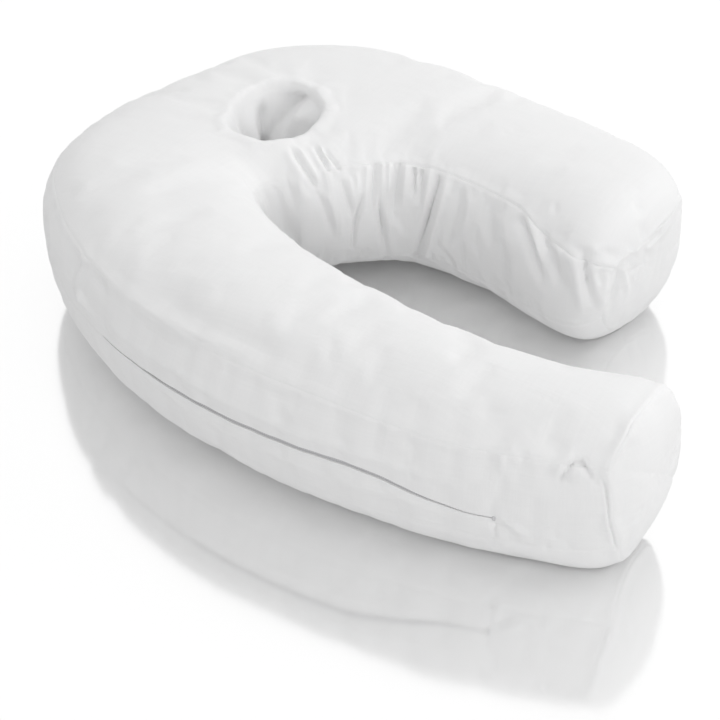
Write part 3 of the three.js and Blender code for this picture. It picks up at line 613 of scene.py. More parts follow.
def place_on_skin(pixels, points, normals):
    """Where the skin shows at each picture point, by a plane through the nearest points of a fine grid."""
    column, row, depth = to_pixels(points)
    facing = ((CAMERA_EYE - points) * normals).sum(-1) > 0
    column, row, depth, points = column[facing], row[facing], depth[facing], points[facing]
    found = []
    for x, y in pixels:
        away = np.hypot(column - x, row - y)
        close = away < max(PLACE_PIXELS, away.min() + PLACE_EXTRA)
        front = depth[close].min()
        near = close & (depth < front + PLACE_DEPTH)
        weight = np.exp(-((away[near] / PLACE_SPREAD) ** 2))[:, None] + 1e-6
        if near.sum() < PLACE_FEWEST:
            found.append((points[near] * weight).sum(0) / weight.sum())
            continue
        spread = np.column_stack([np.ones(near.sum()), column[near] - x, row[near] - y])
        found.append(np.linalg.lstsq(spread * weight, points[near] * weight, rcond=None)[0][0])
    return np.array(found)


def beside_zip(line):
    return 360 + angle_of_height(zip_height(line))


# Turned seams: where each runs, from line to line, and the heights of its groove, its ridge and its puckers
SEAMS = [
    (outer_high, 0, LAST, -0.5, 1.4, 0.8),
    (lambda line: 360 + OUTER_LOW + 0 * line, 0, LAST, -0.25, 0.6, 0.6),
    (inner_high, 0, 10.7, -0.2, 0.5, 0.5),
    (inner_high, 10.7, LAST, -0.9, 0.9, 0.9),
    (lambda line: INNER_LOW + 0 * line, 0, LAST, -0.5, 0.5, 0.7),
    (beside_zip, ZIP_TO, LAST, -0.6, 0.6, 0.6),
    (beside_zip, 0, ZIP_FROM, -0.1, 0.3, 0.4),
]
PANEL_SEAMS = [(-0.35, 2.2, 0.5), (-0.3, 0.9, 0.5)]
GROOVE_WIDTH = 1.2
RIDGE_WIDTH = 5.5
SEAM_FADE = 0.03
SEAM_TIP_FADE = (0.15, 0.32)
PUCKER_REACH = 9.0
PUCKER_SIZE, PANEL_PUCKER_SIZE = 8.0, 9.0
PUCKER_PATCH = 60.0
PUCKER_STEADY, PUCKER_CHANGING = 0.6, 0.4
GROOVE_FORM = 1.4

# The roll round the ear hole: heights of the roll, the hollow outside it and the puckers, place and width of
# each, and size, share and seed of the puckers
EAR_CENTRE = EAR_HOME + FRAME_SHIFT
RIM_HEIGHTS = (1.4, 0.3, 1.1)
RIM_PLACES = [(3.5, 6), (12.5, 4), (3, 9)]
RIM_PUCKERS = [(6.5, 0.7, 61), (15.0, 0.6, 62)]
RIM_JOIN = 0.25

# Unevenness of the whole skin, and of the walls alone: height and size in mm, and seed
UNEVEN = [(1.2, 95, 1), (0.6, 42, 2), (0.18, 15, 3)]
WALL_UNEVEN = [(0.9, (34, 150, 10), 5), (0.45, (15, 110, 10), 6)]
WALL_NARROWING = 1.3
OTHER_WALL = 5000.0


def patchy(wave, patch):
    """Puckers that come and go along their seam."""
    return wave * (PUCKER_STEADY + PUCKER_CHANGING * patch)


class Relief:
    """Seams, folds and unevenness of the cloth, as a height in millimetres over the smooth skin."""

    def __init__(self):
        lines = even_columns(0.01, LAST - 0.01, 4)
        angles = np.arange(0, 360, 2.0)
        line, angle = np.meshgrid(lines, angles, indexing="ij")
        points, normals = skin(line, angle)
        points = (points.reshape(-1, 3) + FRAME_SHIFT) / 1000
        normals = normals.reshape(-1, 3)
        self.creases = None
        self.folds = []
        for height, width, fade_in, fade_out, pixels, *form in FOLDS:
            path = place_on_skin(closer_points(pixels), points, normals) * 1000
            for _ in range(PATH_ROUNDINGS):
                path[1:-1] = path[:-2] / 4 + path[1:-1] / 2 + path[2:] / 4
            self.folds.append((path, height, width, fade_in, fade_out, form[0] if form else FOLD_FORM))

    def fold_heights(self, points):
        """Heights of the folds at points, each by the distance from its path."""
        total = np.zeros(points.shape[:-1])
        for path, height, width, fade_in, fade_out, form in self.folds:
            reach = width * FOLD_REACH
            low, high = path.min(0) - reach, path.max(0) + reach
            near = ((points > low) & (points < high)).all(-1)
            if not near.any():
                continue
            some = points[near]
            runs = np.linalg.norm(np.diff(path, axis=0), axis=1)
            starts = np.concatenate([[0], np.cumsum(runs)])
            best = np.full(len(some), 1e9)
            along = np.zeros(len(some))
            for i, run in enumerate(runs):
                step = (path[i + 1] - path[i]) / run
                share = np.clip((some - path[i]) @ step, 0, run)
                away = np.linalg.norm(some - path[i] - share[:, None] * step, axis=1)
                closer = away < best
                best[closer] = away[closer]
                along[closer] = (starts[i] + share[closer]) / starts[-1]
            strength = smooth_step(0, fade_in, along) * (1 - smooth_step(1 - fade_out, 1, along))
            total[near] += height * strength * np.exp(-np.abs(best / width) ** form)
        return total

    def seam_form(self, away, wave, groove, ridge, pucker):
        """Height of a seam at a distance from it."""
        narrow = np.exp(-np.abs(away / GROOVE_WIDTH) ** GROOVE_FORM)
        form = groove * narrow + ridge * np.exp(-((away / RIDGE_WIDTH) ** 2))
        return form + pucker * wave * np.exp(-away / PUCKER_REACH)

    def seams(self, line, angle, point):
        """Turned seams: a narrow groove on a soft ridge, with small puckers across it."""
        total = np.zeros(point.shape[:-1])
        run = length_at(line)
        for seed, (seam_angle, first, last, groove, ridge, pucker) in enumerate(SEAMS):
            own_angle = seam_angle(line)
            seam = skin(tip_line(line, own_angle), own_angle)[0]
            away = np.linalg.norm(point - seam, axis=-1)
            there = smooth_step(first - SEAM_FADE, first + SEAM_FADE, line)
            there = there * (1 - smooth_step(last - SEAM_FADE, last + SEAM_FADE, line))
            there = there * smooth_step(*SEAM_TIP_FADE, np.minimum(line, LAST - line))
            wave = patchy(ripple(run, PUCKER_SIZE, 20 + seed), ripple(run, PUCKER_PATCH, 40 + seed))
            total += there * self.seam_form(away, wave, groove, ridge, pucker)
        return total

    def panel_seams(self, line, angle, point):
        """The seams round the two end panels."""
        near = np.minimum(line, LAST - line) < 1
        total = np.zeros(point.shape[:-1])
        if not near.any():
            return total
        is_near = line[near] < LAST / 2
        edge = line_at_share(panel_edge(angle[near], is_near))
        edge = np.where(is_near, edge, LAST - edge)
        seam = skin(edge, angle[near])[0]
        away = np.linalg.norm(point[near] - seam, axis=-1)
        wave = patchy(noise(seam, PANEL_PUCKER_SIZE, 31), noise(seam, PUCKER_PATCH, 51))
        near_form, far_form = (self.seam_form(away, wave, *form) for form in PANEL_SEAMS)
        total[near] = np.where(is_near, near_form, far_form)
        return total

    def ear_rim(self, frame_point):
        """The puckered roll round the ear hole."""
        offset = frame_point - EAR_CENTRE
        turn = np.arctan2(offset[..., 1], offset[..., 0])
        reach = np.hypot(offset[..., 0], offset[..., 1]) - ring_at(MOUTH.wanted, turn)
        pucker = sum(ripple(turn * EAR_RADIUS, size, seed) * share for size, share, seed in RIM_PUCKERS)
        ends = np.abs(turn) > math.pi - RIM_JOIN
        pucker = np.where(ends, pucker * (math.pi - np.abs(turn)) / RIM_JOIN, pucker)
        on_roll, in_hollow, on_puckers = (np.exp(-(((reach - at) / width) ** 2)) for at, width in RIM_PLACES)
        roll, hollow, puckered = RIM_HEIGHTS
        return roll * on_roll - hollow * in_hollow + puckered * pucker * on_puckers

    def at(self, line, angle, point):
        """The whole height at points of the smooth skin."""
        line, angle = np.broadcast_arrays(np.asarray(line, float), np.asarray(angle, float))
        frame_point = point + FRAME_SHIFT
        height = sum(most * noise(frame_point, size, seed) for most, size, seed in UNEVEN)
        turned = np.mod(angle, 360)
        on_wall = np.clip(1 - np.abs(np.sin(np.radians(turned))) ** 2 * WALL_NARROWING, 0, 1)
        along = np.zeros(point.shape)
        along[..., 0] = length_at(line)
        along[..., 1] = point[..., 2]
        along[..., 2] = np.where(np.cos(np.radians(turned)) > 0, 0.0, OTHER_WALL)
        height += on_wall * sum(most * noise(along, size, seed) for most, size, seed in WALL_UNEVEN)
        height += self.seams(line, turned, point) + self.panel_seams(line, turned, point)
        height += self.ear_rim(frame_point)
        height += self.fold_heights(frame_point)
        if self.creases is not None:
            height += self.creases.at(line, turned) * crease_share(turned)
        return height


RELIEF = Relief()


def cloth_grid(line, angle, depth=0.0):
    """Finished cloth at lines and angles, in metres in the row frame, some depth below its outside."""
    point, normal = skin(tip_line(line, angle), angle)
    height = RELIEF.at(line, angle, point) - depth
    point = point + normal * np.asarray(height)[..., None]
    point[..., 2] = np.maximum(point[..., 2], 0)
    return (point + FRAME_SHIFT) / 1000


# The cover as simulated cloth: a little too large, sewn down along its seams and pressed out by the filling
SIM_SPACING = 5.5
SIM_ROWS = [7, 9, 11, 9, 6, 15, 12, 9, 12]
SIM_FRAMES = 20
SIM_GROWTH = 0.014
SIM_SETTINGS = {
    "quality": 5,
    "bending_stiffness": 3.0,
    "use_pressure": True,
    "uniform_pressure_force": 3.0,
    "shrink_min": -SIM_GROWTH,
    "shrink_max": -SIM_GROWTH,
    "vertex_group_mass": "sewn",
}
SIM_SMOOTHING = 4
SIM_MOST = 3.5
SIM_RINGS = 15
SIM_TIP_RINGS = 7
SIM_FLOOR_FADE = (1, 12)
CREASE_SHARES = (0.5, 0.35, 0.15)
INNER_TURN = (INNER_HIGH - 25, INNER_HIGH - 8)
UNDER_TURN = (INNER_LOW, INNER_LOW + 20)
TOP_TURN = (OUTER_HIGH, OUTER_HIGH + 25)


def crease_share(angle):
    """How much of the simulated creases shows: most on the inner wall, least on the outer walls."""
    past_top = smooth_step(*INNER_TURN, angle)
    inner = past_top * (1 - smooth_step(*UNDER_TURN, angle))
    top = smooth_step(*TOP_TURN, angle) * (1 - past_top)
    least, more_inside, more_on_top = CREASE_SHARES
    return least + more_inside * inner + more_on_top * top


def blurred(values, size):
    """Gaussian blur of a grid that is open in its columns and closed in its rows."""
    reach = 3 * size
    weights = np.exp(-0.5 * (np.arange(-reach, reach + 1) / size) ** 2)
    weights /= weights.sum()
    wide = np.pad(values, ((reach, reach), (0, 0)), mode="edge")
    values = sum(w * wide[i:i + values.shape[0]] for i, w in enumerate(weights))
    wide = np.pad(values, ((0, 0), (reach, reach)), mode="wrap")
    return sum(w * wide[:, i:i + values.shape[1]] for i, w in enumerate(weights))


class Creases:
    """Heights of a cloth simulation of the whole cover over the skin that it started from."""

    def __init__(self):
        rings = np.linspace(0.1, PANEL_SHARE, SIM_RINGS)
        near = line_at_share(np.concatenate([rings, np.linspace(PANEL_SHARE, TIP_SHARE, SIM_TIP_RINGS)[1:]]))
        middle = even_columns(near[-1], LAST - near[-1], SIM_SPACING)
        self.columns = np.concatenate([near[:-1], middle, (LAST - near[:-1])[::-1]])
        self.ear = [near_index(self.columns, line) for line in EAR_LINES]
        self.columns[self.ear] = EAR_LINES
        self.angles = section_rows(self.columns, [angle_of_height(zip_height(self.columns))], SIM_ROWS)
        line = np.repeat(self.columns[:, None], self.angles.shape[1], axis=1)
        self.base = cloth_grid(line, self.angles)
        self.heights = self.simulate()

    def sewn(self):
        """Places that stay still: seams, panel edges, the ear hole's mouths and what lies on the floor."""
        stops = np.concatenate([[0], np.cumsum(SIM_ROWS)])
        still = np.zeros(self.angles.shape, bool)
        still[:, [stops[0], stops[1], stops[2], stops[5], stops[6]]] = True
        still[[0, SIM_RINGS - 1, -SIM_RINGS, -1], :] = True
        first, last = self.ear
        open_mouths = [(stops[3], stops[4]), (stops[7], stops[8])]
        for low, high in open_mouths:
            still[first:last + 1, low:high + 1] = True
        still[self.base[..., 2] < 0.0005] = True
        return still, open_mouths

    def simulate(self):
        across, down = self.angles.shape
        still, mouths = self.sewn()
        first, last = self.ear

        def in_mouth(c, r):
            return first <= c < last and any(low <= r < high for low, high in mouths)

        faces = closed_faces(across, down, in_mouth)
        mesh = bpy.data.meshes.new("simulated_cover")
        mesh.from_pydata([tuple(p) for p in self.base.reshape(-1, 3).tolist()], [], faces)
        cover = bpy.data.objects.new("simulated_cover", mesh)
        scene = bpy.context.scene
        scene.collection.objects.link(cover)
        cover.vertex_groups.new(name="sewn").add(np.nonzero(still.ravel())[0].tolist(), 1.0, "REPLACE")
        cloth = cover.modifiers.new("cloth", "CLOTH")
        for name, value in SIM_SETTINGS.items():
            setattr(cloth.settings, name, value)
        cloth.settings.effector_weights.gravity = 0
        cloth.collision_settings.use_collision = False
        cloth.collision_settings.use_self_collision = False
        cloth.point_cache.frame_start = 1
        cloth.point_cache.frame_end = SIM_FRAMES
        for number in range(1, SIM_FRAMES + 1):
            scene.frame_set(number)
        seen = cover.evaluated_get(bpy.context.evaluated_depsgraph_get())
        settled = seen.to_mesh()
        places = np.empty(across * down * 3, np.float32)
        settled.vertices.foreach_get("co", places)
        moved = (places.reshape(across, down, 3) - self.base) * 1000
        seen.to_mesh_clear()
        bpy.data.objects.remove(cover)
        bpy.data.meshes.remove(mesh)
        scene.frame_set(1)
        run = np.gradient(self.base, axis=0)
        turn = np.roll(self.base, -1, axis=1) - np.roll(self.base, 1, axis=1)
        normal = np.cross(turn, run)
        normal /= np.maximum(np.linalg.norm(normal, axis=-1, keepdims=True), 1e-12)
        rise = (moved * normal).sum(-1)
        rise = rise - blurred(rise, SIM_SMOOTHING)
        rise = SIM_MOST * np.tanh(rise / SIM_MOST)
        return rise * smooth_step(*SIM_FLOOR_FADE, self.base[..., 2] * 1000)

    def at(self, line, angle):
        """Heights at lines and angles, smoothly between the simulated points."""
        column = np.interp(line, self.columns, np.arange(len(self.columns)))
        angle = np.where(angle > 360 + OUTER_LOW, angle - 360, angle)
        row = np.zeros(line.shape)
        down = self.angles.shape[1]
        for value in np.unique(column):
            here = column == value
            low = min(int(value), len(self.columns) - 2)
            stops = self.angles[low] + (self.angles[low + 1] - self.angles[low]) * (value - low)
            row[here] = np.interp(angle[here], np.append(stops, 360 + OUTER_LOW), np.arange(down + 1))
        c, r = np.floor(column).astype(int), np.floor(row).astype(int)
        weights = []
        for w in (column - c, row - r):
            weights.append((
                ((2 - w) * w - 1) * w / 2,
                ((3 * w - 5) * w * w + 2) / 2,
                ((4 - 3 * w) * w + 1) * w / 2,
                (w - 1) * w * w / 2,
            ))
        total = 0
        for i in range(4):
            for k in range(4):
                place = np.clip(c + i - 1, 0, len(self.columns) - 1), (r + k - 1) % down
                total = total + weights[0][i] * weights[1][k] * self.heights[place]
        return total


RELIEF.creases = Creases()


SHARP_ANGLE = math.radians(70)


def make_object(name, points, faces, material, grain=None, smooth=True):
    mesh = bpy.data.meshes.new(name)
    mesh.from_pydata([tuple(p) for p in points.tolist()], [], faces)
    mesh.validate(clean_customdata=False)
    mesh.polygons.foreach_set("use_smooth", [smooth] * len(mesh.polygons))
    if grain is not None:
        layer = mesh.uv_layers.new(name="grain")
        corner = np.empty(len(mesh.loops), np.int32)
        mesh.loops.foreach_get("vertex_index", corner)
        layer.data.foreach_set("uv", np.asarray(grain, np.float32)[corner].ravel())
    mesh.update()
    if smooth:
        mesh.set_sharp_from_angle(angle=SHARP_ANGLE)
    mesh.materials.append(material)
    made = bpy.data.objects.new(name, mesh)
    bpy.context.scene.collection.objects.link(made)
    return made


# Materials
def new_material(name):
    material = bpy.data.materials.new(name)
    material.use_nodes = True
    tree = material.node_tree
    tree.nodes.clear()
    output = tree.nodes.new("ShaderNodeOutputMaterial")
    shader = tree.nodes.new("ShaderNodeBsdfPrincipled")
    tree.links.new(shader.outputs[0], output.inputs[0])
    return material, tree, shader


def add_node(tree, kind, inputs=None, output=0, **settings):
    """One output of a new node, whose inputs are set to values or linked to other nodes' outputs."""
    node = tree.nodes.new("ShaderNode" + kind)
    for name, value in settings.items():
        setattr(node, name, value)
    for name, value in (inputs or {}).items():
        if isinstance(value, bpy.types.NodeSocket):
            tree.links.new(value, node.inputs[name])
        else:
            node.inputs[name].default_value = value
    return node.outputs[output]


def math_node(tree, operation, first, second):
    return add_node(tree, "Math", {0: first, 1: second}, operation=operation)


def add_noise(tree, vector, scale, detail, rough=0.5, distortion=0.0):
    inputs = {"Vector": vector, "Scale": scale, "Detail": detail}
    inputs.update({"Roughness": rough, "Distortion": distortion})
    return add_node(tree, "TexNoise", inputs, "Fac")


def add_colour(tree, shader, share, dark, light):
    """Base colour between two tints."""
    inputs = {0: share, 6: (*dark, 1), 7: (*light, 1)}
    tree.links.new(add_node(tree, "Mix", inputs, 2, data_type="RGBA"), shader.inputs["Base Color"])


def add_roughness(tree, shader, value, share, base):
    rough = math_node(tree, "ADD", math_node(tree, "MULTIPLY", value, share), base)
    tree.links.new(rough, shader.inputs["Roughness"])


def add_bumps(tree, shader, bumps):
    """Bumps one over the other, each with its height, strength and distance in metres."""
    below = {}
    for height, strength, distance in bumps:
        inputs = {"Height": height, "Strength": strength, "Distance": distance, **below}
        below = {"Normal": add_node(tree, "Bump", inputs)}
    tree.links.new(below["Normal"], shader.inputs["Normal"])


YARN_SCALES = [(18, 620, 1), (620, 18, 1)]
THREAD_WAVE = {"Scale": 0.31416, "Distortion": 0.35, "Detail": 1.0, "Detail Scale": 0.4}
WEAVE_PITCH, TAPE_PITCH = 0.00055, 0.0008


def cotton_material(name, light, dark, pitch):
    """White woven cotton: plain weave, uneven yarns, small creases and a soft bloom."""
    material, tree, shader = new_material(name)
    grain = add_node(tree, "UVMap", uv_map="grain")
    space = add_node(tree, "TexCoord", output="Object")
    weave = add_node(tree, "Mapping", {"Vector": grain, "Scale": (1 / pitch, 1 / pitch, 1)})
    checker = add_node(tree, "TexChecker", {"Vector": weave, "Scale": 1.0}, "Fac")
    threads = []
    for direction in "XY":
        kind = {"wave_type": "BANDS", "bands_direction": direction, "wave_profile": "SIN"}
        threads.append(add_node(tree, "TexWave", {"Vector": weave, **THREAD_WAVE}, "Fac", **kind))
    over = add_node(tree, "Mix", {0: checker, 2: threads[0], 3: threads[1]}, data_type="FLOAT")

    stretched = [add_node(tree, "Mapping", {"Vector": grain, "Scale": scale}) for scale in YARN_SCALES]
    yarns = math_node(tree, "ADD", *[add_noise(tree, place, 1.0, 3) for place in stretched])
    creases = add_noise(tree, space, 46.0, 4, 0.55, 0.6)
    broad = add_noise(tree, space, 9.0, 2)
    halves = [math_node(tree, "MULTIPLY", value, 0.5) for value in (yarns, broad)]
    add_colour(tree, shader, math_node(tree, "ADD", *halves), dark, light)
    add_roughness(tree, shader, yarns, 0.06, 0.84)
    shader.inputs["Specular IOR Level"].default_value = 0.25
    shader.inputs["Sheen Weight"].default_value = 0.25
    shader.inputs["Sheen Roughness"].default_value = 0.5
    add_bumps(tree, shader, [(over, 0.6, 0.00012), (yarns, 0.5, 0.00018), (creases, 0.5, 0.0012)])
    return material


def smooth_material(name, colour, roughness, metallic, scale):
    """Moulded or drawn material with a fine unevenness in its colour, gloss and relief."""
    material, tree, shader = new_material(name)
    grain = add_noise(tree, add_node(tree, "TexCoord", output="Object"), scale, 3)
    add_colour(tree, shader, grain, [c * 0.88 for c in colour], colour)
    add_roughness(tree, shader, grain, 0.2, roughness - 0.1)
    shader.inputs["Metallic"].default_value = metallic
    add_bumps(tree, shader, [(grain, 0.2, 0.0001)])
    return material


COTTON = cotton_material("white_cotton", (0.90, 0.90, 0.90), (0.84, 0.84, 0.845), WEAVE_PITCH)
# The zip tape's tints are darker than the tape's own grey: painted shade for the shadow in the slit
TAPE_WITH_PAINTED_SHADE = cotton_material("zip_tape_painted_shade", (0.56, 0.56, 0.57), (0.48, 0.48, 0.49), TAPE_PITCH)
COIL = smooth_material("zip_coil_nylon", (0.74, 0.74, 0.75), 0.4, 0.0, 900)
STOP_METAL = smooth_material("zip_stop_metal", (0.62, 0.62, 0.63), 0.35, 0.8, 1400)

# Fine grid of the whole skin
FIRST_RING, SECOND_RING = 0.03, 0.08
PANEL_RINGS = line_at_share(np.concatenate([[FIRST_RING], np.linspace(SECOND_RING, PANEL_SHARE, 12)]))
TIP_COLUMNS = line_at_share(np.linspace(PANEL_SHARE, TIP_SHARE, 20))
COLUMN_STOPS = [1.4, 8.6, EAR_LINES[0], EAR_LINES[1], 12.4, 15.2]
BODY_SPACINGS = [2.0, 4.2, 2.4, 2.4, 2.4, 3.4, 2.2]
ROW_COUNTS = [5, 3, 5, 20, 36, 18, 6, 20, 36, 14]
STOP_ROWS = np.concatenate([[0], np.cumsum(ROW_COUNTS)])
ROW_ZIP_LOW, ROW_ZIP_HIGH, ROW_OUTER_HIGH, ROW_EAR_FROM, ROW_EAR_TO = STOP_ROWS[1:6]
ROW_INNER_HIGH, ROW_INNER_LOW, ROW_UNDER_FROM, ROW_UNDER_TO = STOP_ROWS[6:10]


def columns_between_tips(spacings):
    """Columns from tip to tip, each stretch with its own spacing in millimetres."""
    stops = [TIP_COLUMNS[-1], *COLUMN_STOPS, LAST - TIP_COLUMNS[-1]]
    parts = [even_columns(stops[i], stops[i + 1], spacing)[1:] for i, spacing in enumerate(spacings)]
    return np.concatenate([TIP_COLUMNS, *parts, (LAST - TIP_COLUMNS[:-1])[::-1]])


def ear_loop(first, last):
    """Grid places round the ear hole's mouth, as columns and rows."""
    loop = [(c, ROW_EAR_FROM) for c in range(first, last)]
    loop += [(last, r) for r in range(ROW_EAR_FROM, ROW_EAR_TO)]
    loop += [(c, ROW_EAR_TO) for c in range(last, first, -1)]
    loop += [(first, r) for r in range(ROW_EAR_TO, ROW_EAR_FROM, -1)]
    return loop


def under_row(row):
    """The lower mouth's row under a row of the upper one."""
    share = (row - ROW_EAR_FROM) / (ROW_EAR_TO - ROW_EAR_FROM)
    return int(round(ROW_UNDER_TO - share * (ROW_UNDER_TO - ROW_UNDER_FROM)))


# Pleats of the ear hole's lining: direction in degrees at the top, its drift per millimetre down, how far it
# stands out of the hole (negative is a fold into it), its half-width in degrees to each side, and the depths
# where it starts and is full
EAR_PLEATS = [
    (139, 0.1, 12.0, (7, 9), (10, 30)),
    (158, 0.1, -6.0, (16, 18), (8, 40)),
    (96, 0.95, 11.0, (5, 12), (4, 14)),
    (86, 0.95, -12.0, (32, 5), (6, 22)),
    (40, 0.3, 6.0, (18, 18), (6, 24)),
    (-62, 0.1, 5.0, (16, 16), (4, 20)),
    (-95, 0.0, -4.0, (20, 20), (4, 24)),
    (-25, 0.0, -4.0, (16, 16), (4, 24)),
    (5, -0.2, 3.5, (14, 14), (8, 26)),
    (192, 0.2, 3.0, (14, 14), (12, 34)),
    (218, 0.0, -3.0, (14, 14), (6, 26)),
    (238, 0.2, 3.5, (13, 13), (8, 26)),
]
PLEAT_TOP = 8
PLEAT_FORM = 1.5
WAIST_SQUEEZE = 0.12
WAIST_DEPTHS = (10, 50)
RIM_LEVELLING = 0.6
RIM_LEVEL_DEPTH = 30

# How far the hole's wall lies in the filling, in mm: at the lip, below it, and from where to where past the
# lining's edge it changes
FILLING_OUTWARD = (0.0, 2.6, 0.8, 5.0)
LINING_OUTWARD = (0.5, 0.0, -1.5, 1.2)
LINING_BACK_OUTWARD = (1.3, 1.4, -1.5, 1.2)


def ear_wall_marks(total):
    """Width shares and depths of the ear hole's wall from its upper mouth to its lower one."""
    return np.vstack([EAR_WALL, [(share, total - depth) for share, depth in EAR_WALL[::-1]]])


def ear_wall_points(top_loop, under_loop, levels, outward):
    """The ear hole's wall, ring by ring from the top mouth to the lower one; loops in metres."""
    top_centre, under_centre = top_loop.mean(0), under_loop.mean(0)
    total = top_centre[2] * 1000
    marks = ear_wall_marks(total)
    at_lip, below, change_from, change_to = outward
    rings = []
    for level in levels:
        share, depth = curve_through(marks, level * (len(marks) - 1))
        from_top = smooth_step(0, 1, depth / total)
        centre = top_centre * (1 - from_top) + under_centre * from_top
        top_arm, under_arm = (top_loop - top_centre)[:, :2], (under_loop - under_centre)[:, :2]
        arm = top_arm * (1 - from_top) + under_arm * from_top
        turn = np.degrees(np.arctan2(arm[:, 1], arm[:, 0]))
        down = min(depth, total - depth)
        pleat = np.zeros(len(turn))
        for direction, drift, out, sides, depths in EAR_PLEATS:
            off = np.mod(turn - direction - drift * (down - PLEAT_TOP) + 180, 360) - 180
            width = np.where(off < 0, *sides)
            pleat += out * smooth_step(*depths, down) * np.exp(-np.abs(off / width) ** PLEAT_FORM)
        reach = np.linalg.norm(arm, axis=1)
        change = smooth_step(LINING_DEPTH + change_from, LINING_DEPTH + change_to, down)
        aside = at_lip + (below - at_lip) * change
        size = share - WAIST_SQUEEZE * smooth_step(*WAIST_DEPTHS, down)
        arm = arm * (size + (aside + pleat) / 1000 / np.maximum(reach, 1e-6))[:, None]
        rim = top_loop[:, 2] * (1 - from_top) + under_loop[:, 2] * from_top
        height = rim - depth / 1000 + from_top * (top_centre[2] - under_centre[2])
        height = height - (rim - centre[2]) * smooth_step(0, RIM_LEVEL_DEPTH, down) * RIM_LEVELLING
        rings.append(np.column_stack([centre[:2] + arm, height]))
    return np.array(rings)


SEAM_DIP = 0.15
ZIP_SINK = 2.0
EAR_LEVELS = 61


def fasten(piece, node):
    """A piece rides on the one body, in place of a node, which is hidden."""
    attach(piece, "root")
    if node:
        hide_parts(node)


def build_cushion():
    """The filled body: crown and underside, recessed walls under the covers, and the ear hole through it."""
    middle = columns_between_tips(BODY_SPACINGS)
    columns = np.concatenate([PANEL_RINGS, middle, (LAST - PANEL_RINGS)[::-1]])
    angles = section_rows(columns, zip_angles(columns), ROW_COUNTS)
    line = np.repeat(columns[:, None], angles.shape[1], axis=1)
    rows = np.arange(angles.shape[1])
    under_cover = (rows < ROW_OUTER_HIGH) | ((rows > ROW_INNER_HIGH) & (rows < ROW_INNER_LOW))
    depth = np.zeros(angles.shape)
    depth[:, under_cover] = CLOTH + CLEAR
    depth[:, [0, ROW_OUTER_HIGH, ROW_INNER_HIGH, ROW_INNER_LOW]] = SEAM_DIP
    depth[:len(PANEL_RINGS)] = CLOTH + CLEAR
    depth[-len(PANEL_RINGS):] = CLOTH + CLEAR
    on_zip = (columns >= ZIP_FROM) & (columns <= ZIP_TO)
    depth[np.ix_(on_zip, np.arange(ROW_ZIP_LOW - 1, ROW_ZIP_HIGH + 2))] += ZIP_SINK
    points = cloth_grid(line, angles, depth)
    across, down = points.shape[:2]
    flat = points.reshape(-1, 3)
    poles = [points[0].mean(0), points[-1].mean(0)]
    near_pole, far_pole = len(flat), len(flat) + 1
    first, last = (near_index(columns, line) for line in EAR_LINES)

    def in_mouth(c, r):
        return first <= c < last and (ROW_EAR_FROM <= r < ROW_EAR_TO or ROW_UNDER_FROM <= r < ROW_UNDER_TO)

    faces = closed_faces(across, down, in_mouth)
    for r in range(down):
        n = (r + 1) % down
        faces.append((near_pole, n, r))
        faces.append((far_pole, (across - 1) * down + r, (across - 1) * down + n))
    loop = ear_loop(first, last)
    top_ids = [c * down + r for c, r in loop]
    under_ids = [c * down + under_row(r) for c, r in loop]
    levels = np.linspace(0, 1, EAR_LEVELS)[1:-1]
    rings = ear_wall_points(flat[top_ids], flat[under_ids], levels, FILLING_OUTWARD)
    around = len(loop)
    starts = [len(flat) + 2 + i * around for i in range(len(rings))]
    ids = [top_ids, *[list(range(start, start + around)) for start in starts], under_ids]
    for upper, lower in zip(ids[:-1], ids[1:]):
        for i in range(around):
            n = (i + 1) % around
            faces.append((upper[i], lower[i], lower[n], upper[n]))
    everything = np.vstack([flat, poles, rings.reshape(-1, 3)])
    cushion = make_object("cushion", everything, faces, COTTON, everything[:, :2])
    fasten(cushion, "pillow_body")
    return flat[top_ids], flat[under_ids]


def shell(name, outer, inner, grain, material):
    """A thin sheet from its outer and inner grids, with its four edges."""
    across, down = outer.shape[:2]
    count = across * down
    faces = []
    for c in range(across - 1):
        for r in range(down - 1):
            a, b, d, e = quad(down, c, r, r + 1)
            faces.append((a, b, d, e))
            faces.append((count + a, count + e, count + d, count + b))
        a, e = c * down, (c + 1) * down
        faces.append((a, e, count + e, count + a))
        b, d = c * down + down - 1, (c + 1) * down + down - 1
        faces.append((d, b, count + b, count + d))
    end = (across - 1) * down
    for r in range(down - 1):
        faces.append((r + 1, r, count + r, count + r + 1))
        faces.append((end + r, end + r + 1, count + end + r + 1, count + end + r))
    points = np.vstack([outer.reshape(-1, 3), inner.reshape(-1, 3)])
    uv = np.vstack([grain.reshape(-1, 2)] * 2)
    return make_object(name, points, faces, material, uv)


def lay_sheet(name, node, columns, outer, inner, over, material=COTTON):
    """A stretched sheet along the arms, with its grain along them."""
    along = np.repeat(length_at(columns)[:, None], outer.shape[1], axis=1) / 1000
    piece = shell(name, outer, inner, np.stack([along, over], axis=-1), material)
    declare_sheet(piece, node)


def declare_sheet(piece, node):
    """A sheet of cloth, fastened to the one body in place of a node."""
    fasten(piece, node)


def build_band(name, node, low, high, count, spacings):
    """A side band between two seams, with so many rows and its own spacing of columns."""
    columns = columns_between_tips(spacings)
    if "outer" in name:
        columns = np.unique(np.concatenate([columns, [ZIP_FROM, ZIP_TO]]))
    angles = np.array([even_rows(line, low(line), high(line), count) for line in columns])
    line = np.repeat(columns[:, None], count, axis=1)
    outer = cloth_grid(line, angles)
    lay_sheet(name, node, columns, outer, cloth_grid(line, angles, CLOTH), outer[..., 2])


PANEL_ROWS = 220
PANEL_MIDDLE = (SECOND_RING, 0.89, 34)
PANEL_RIM = (0.895, PANEL_SHARE, 10)


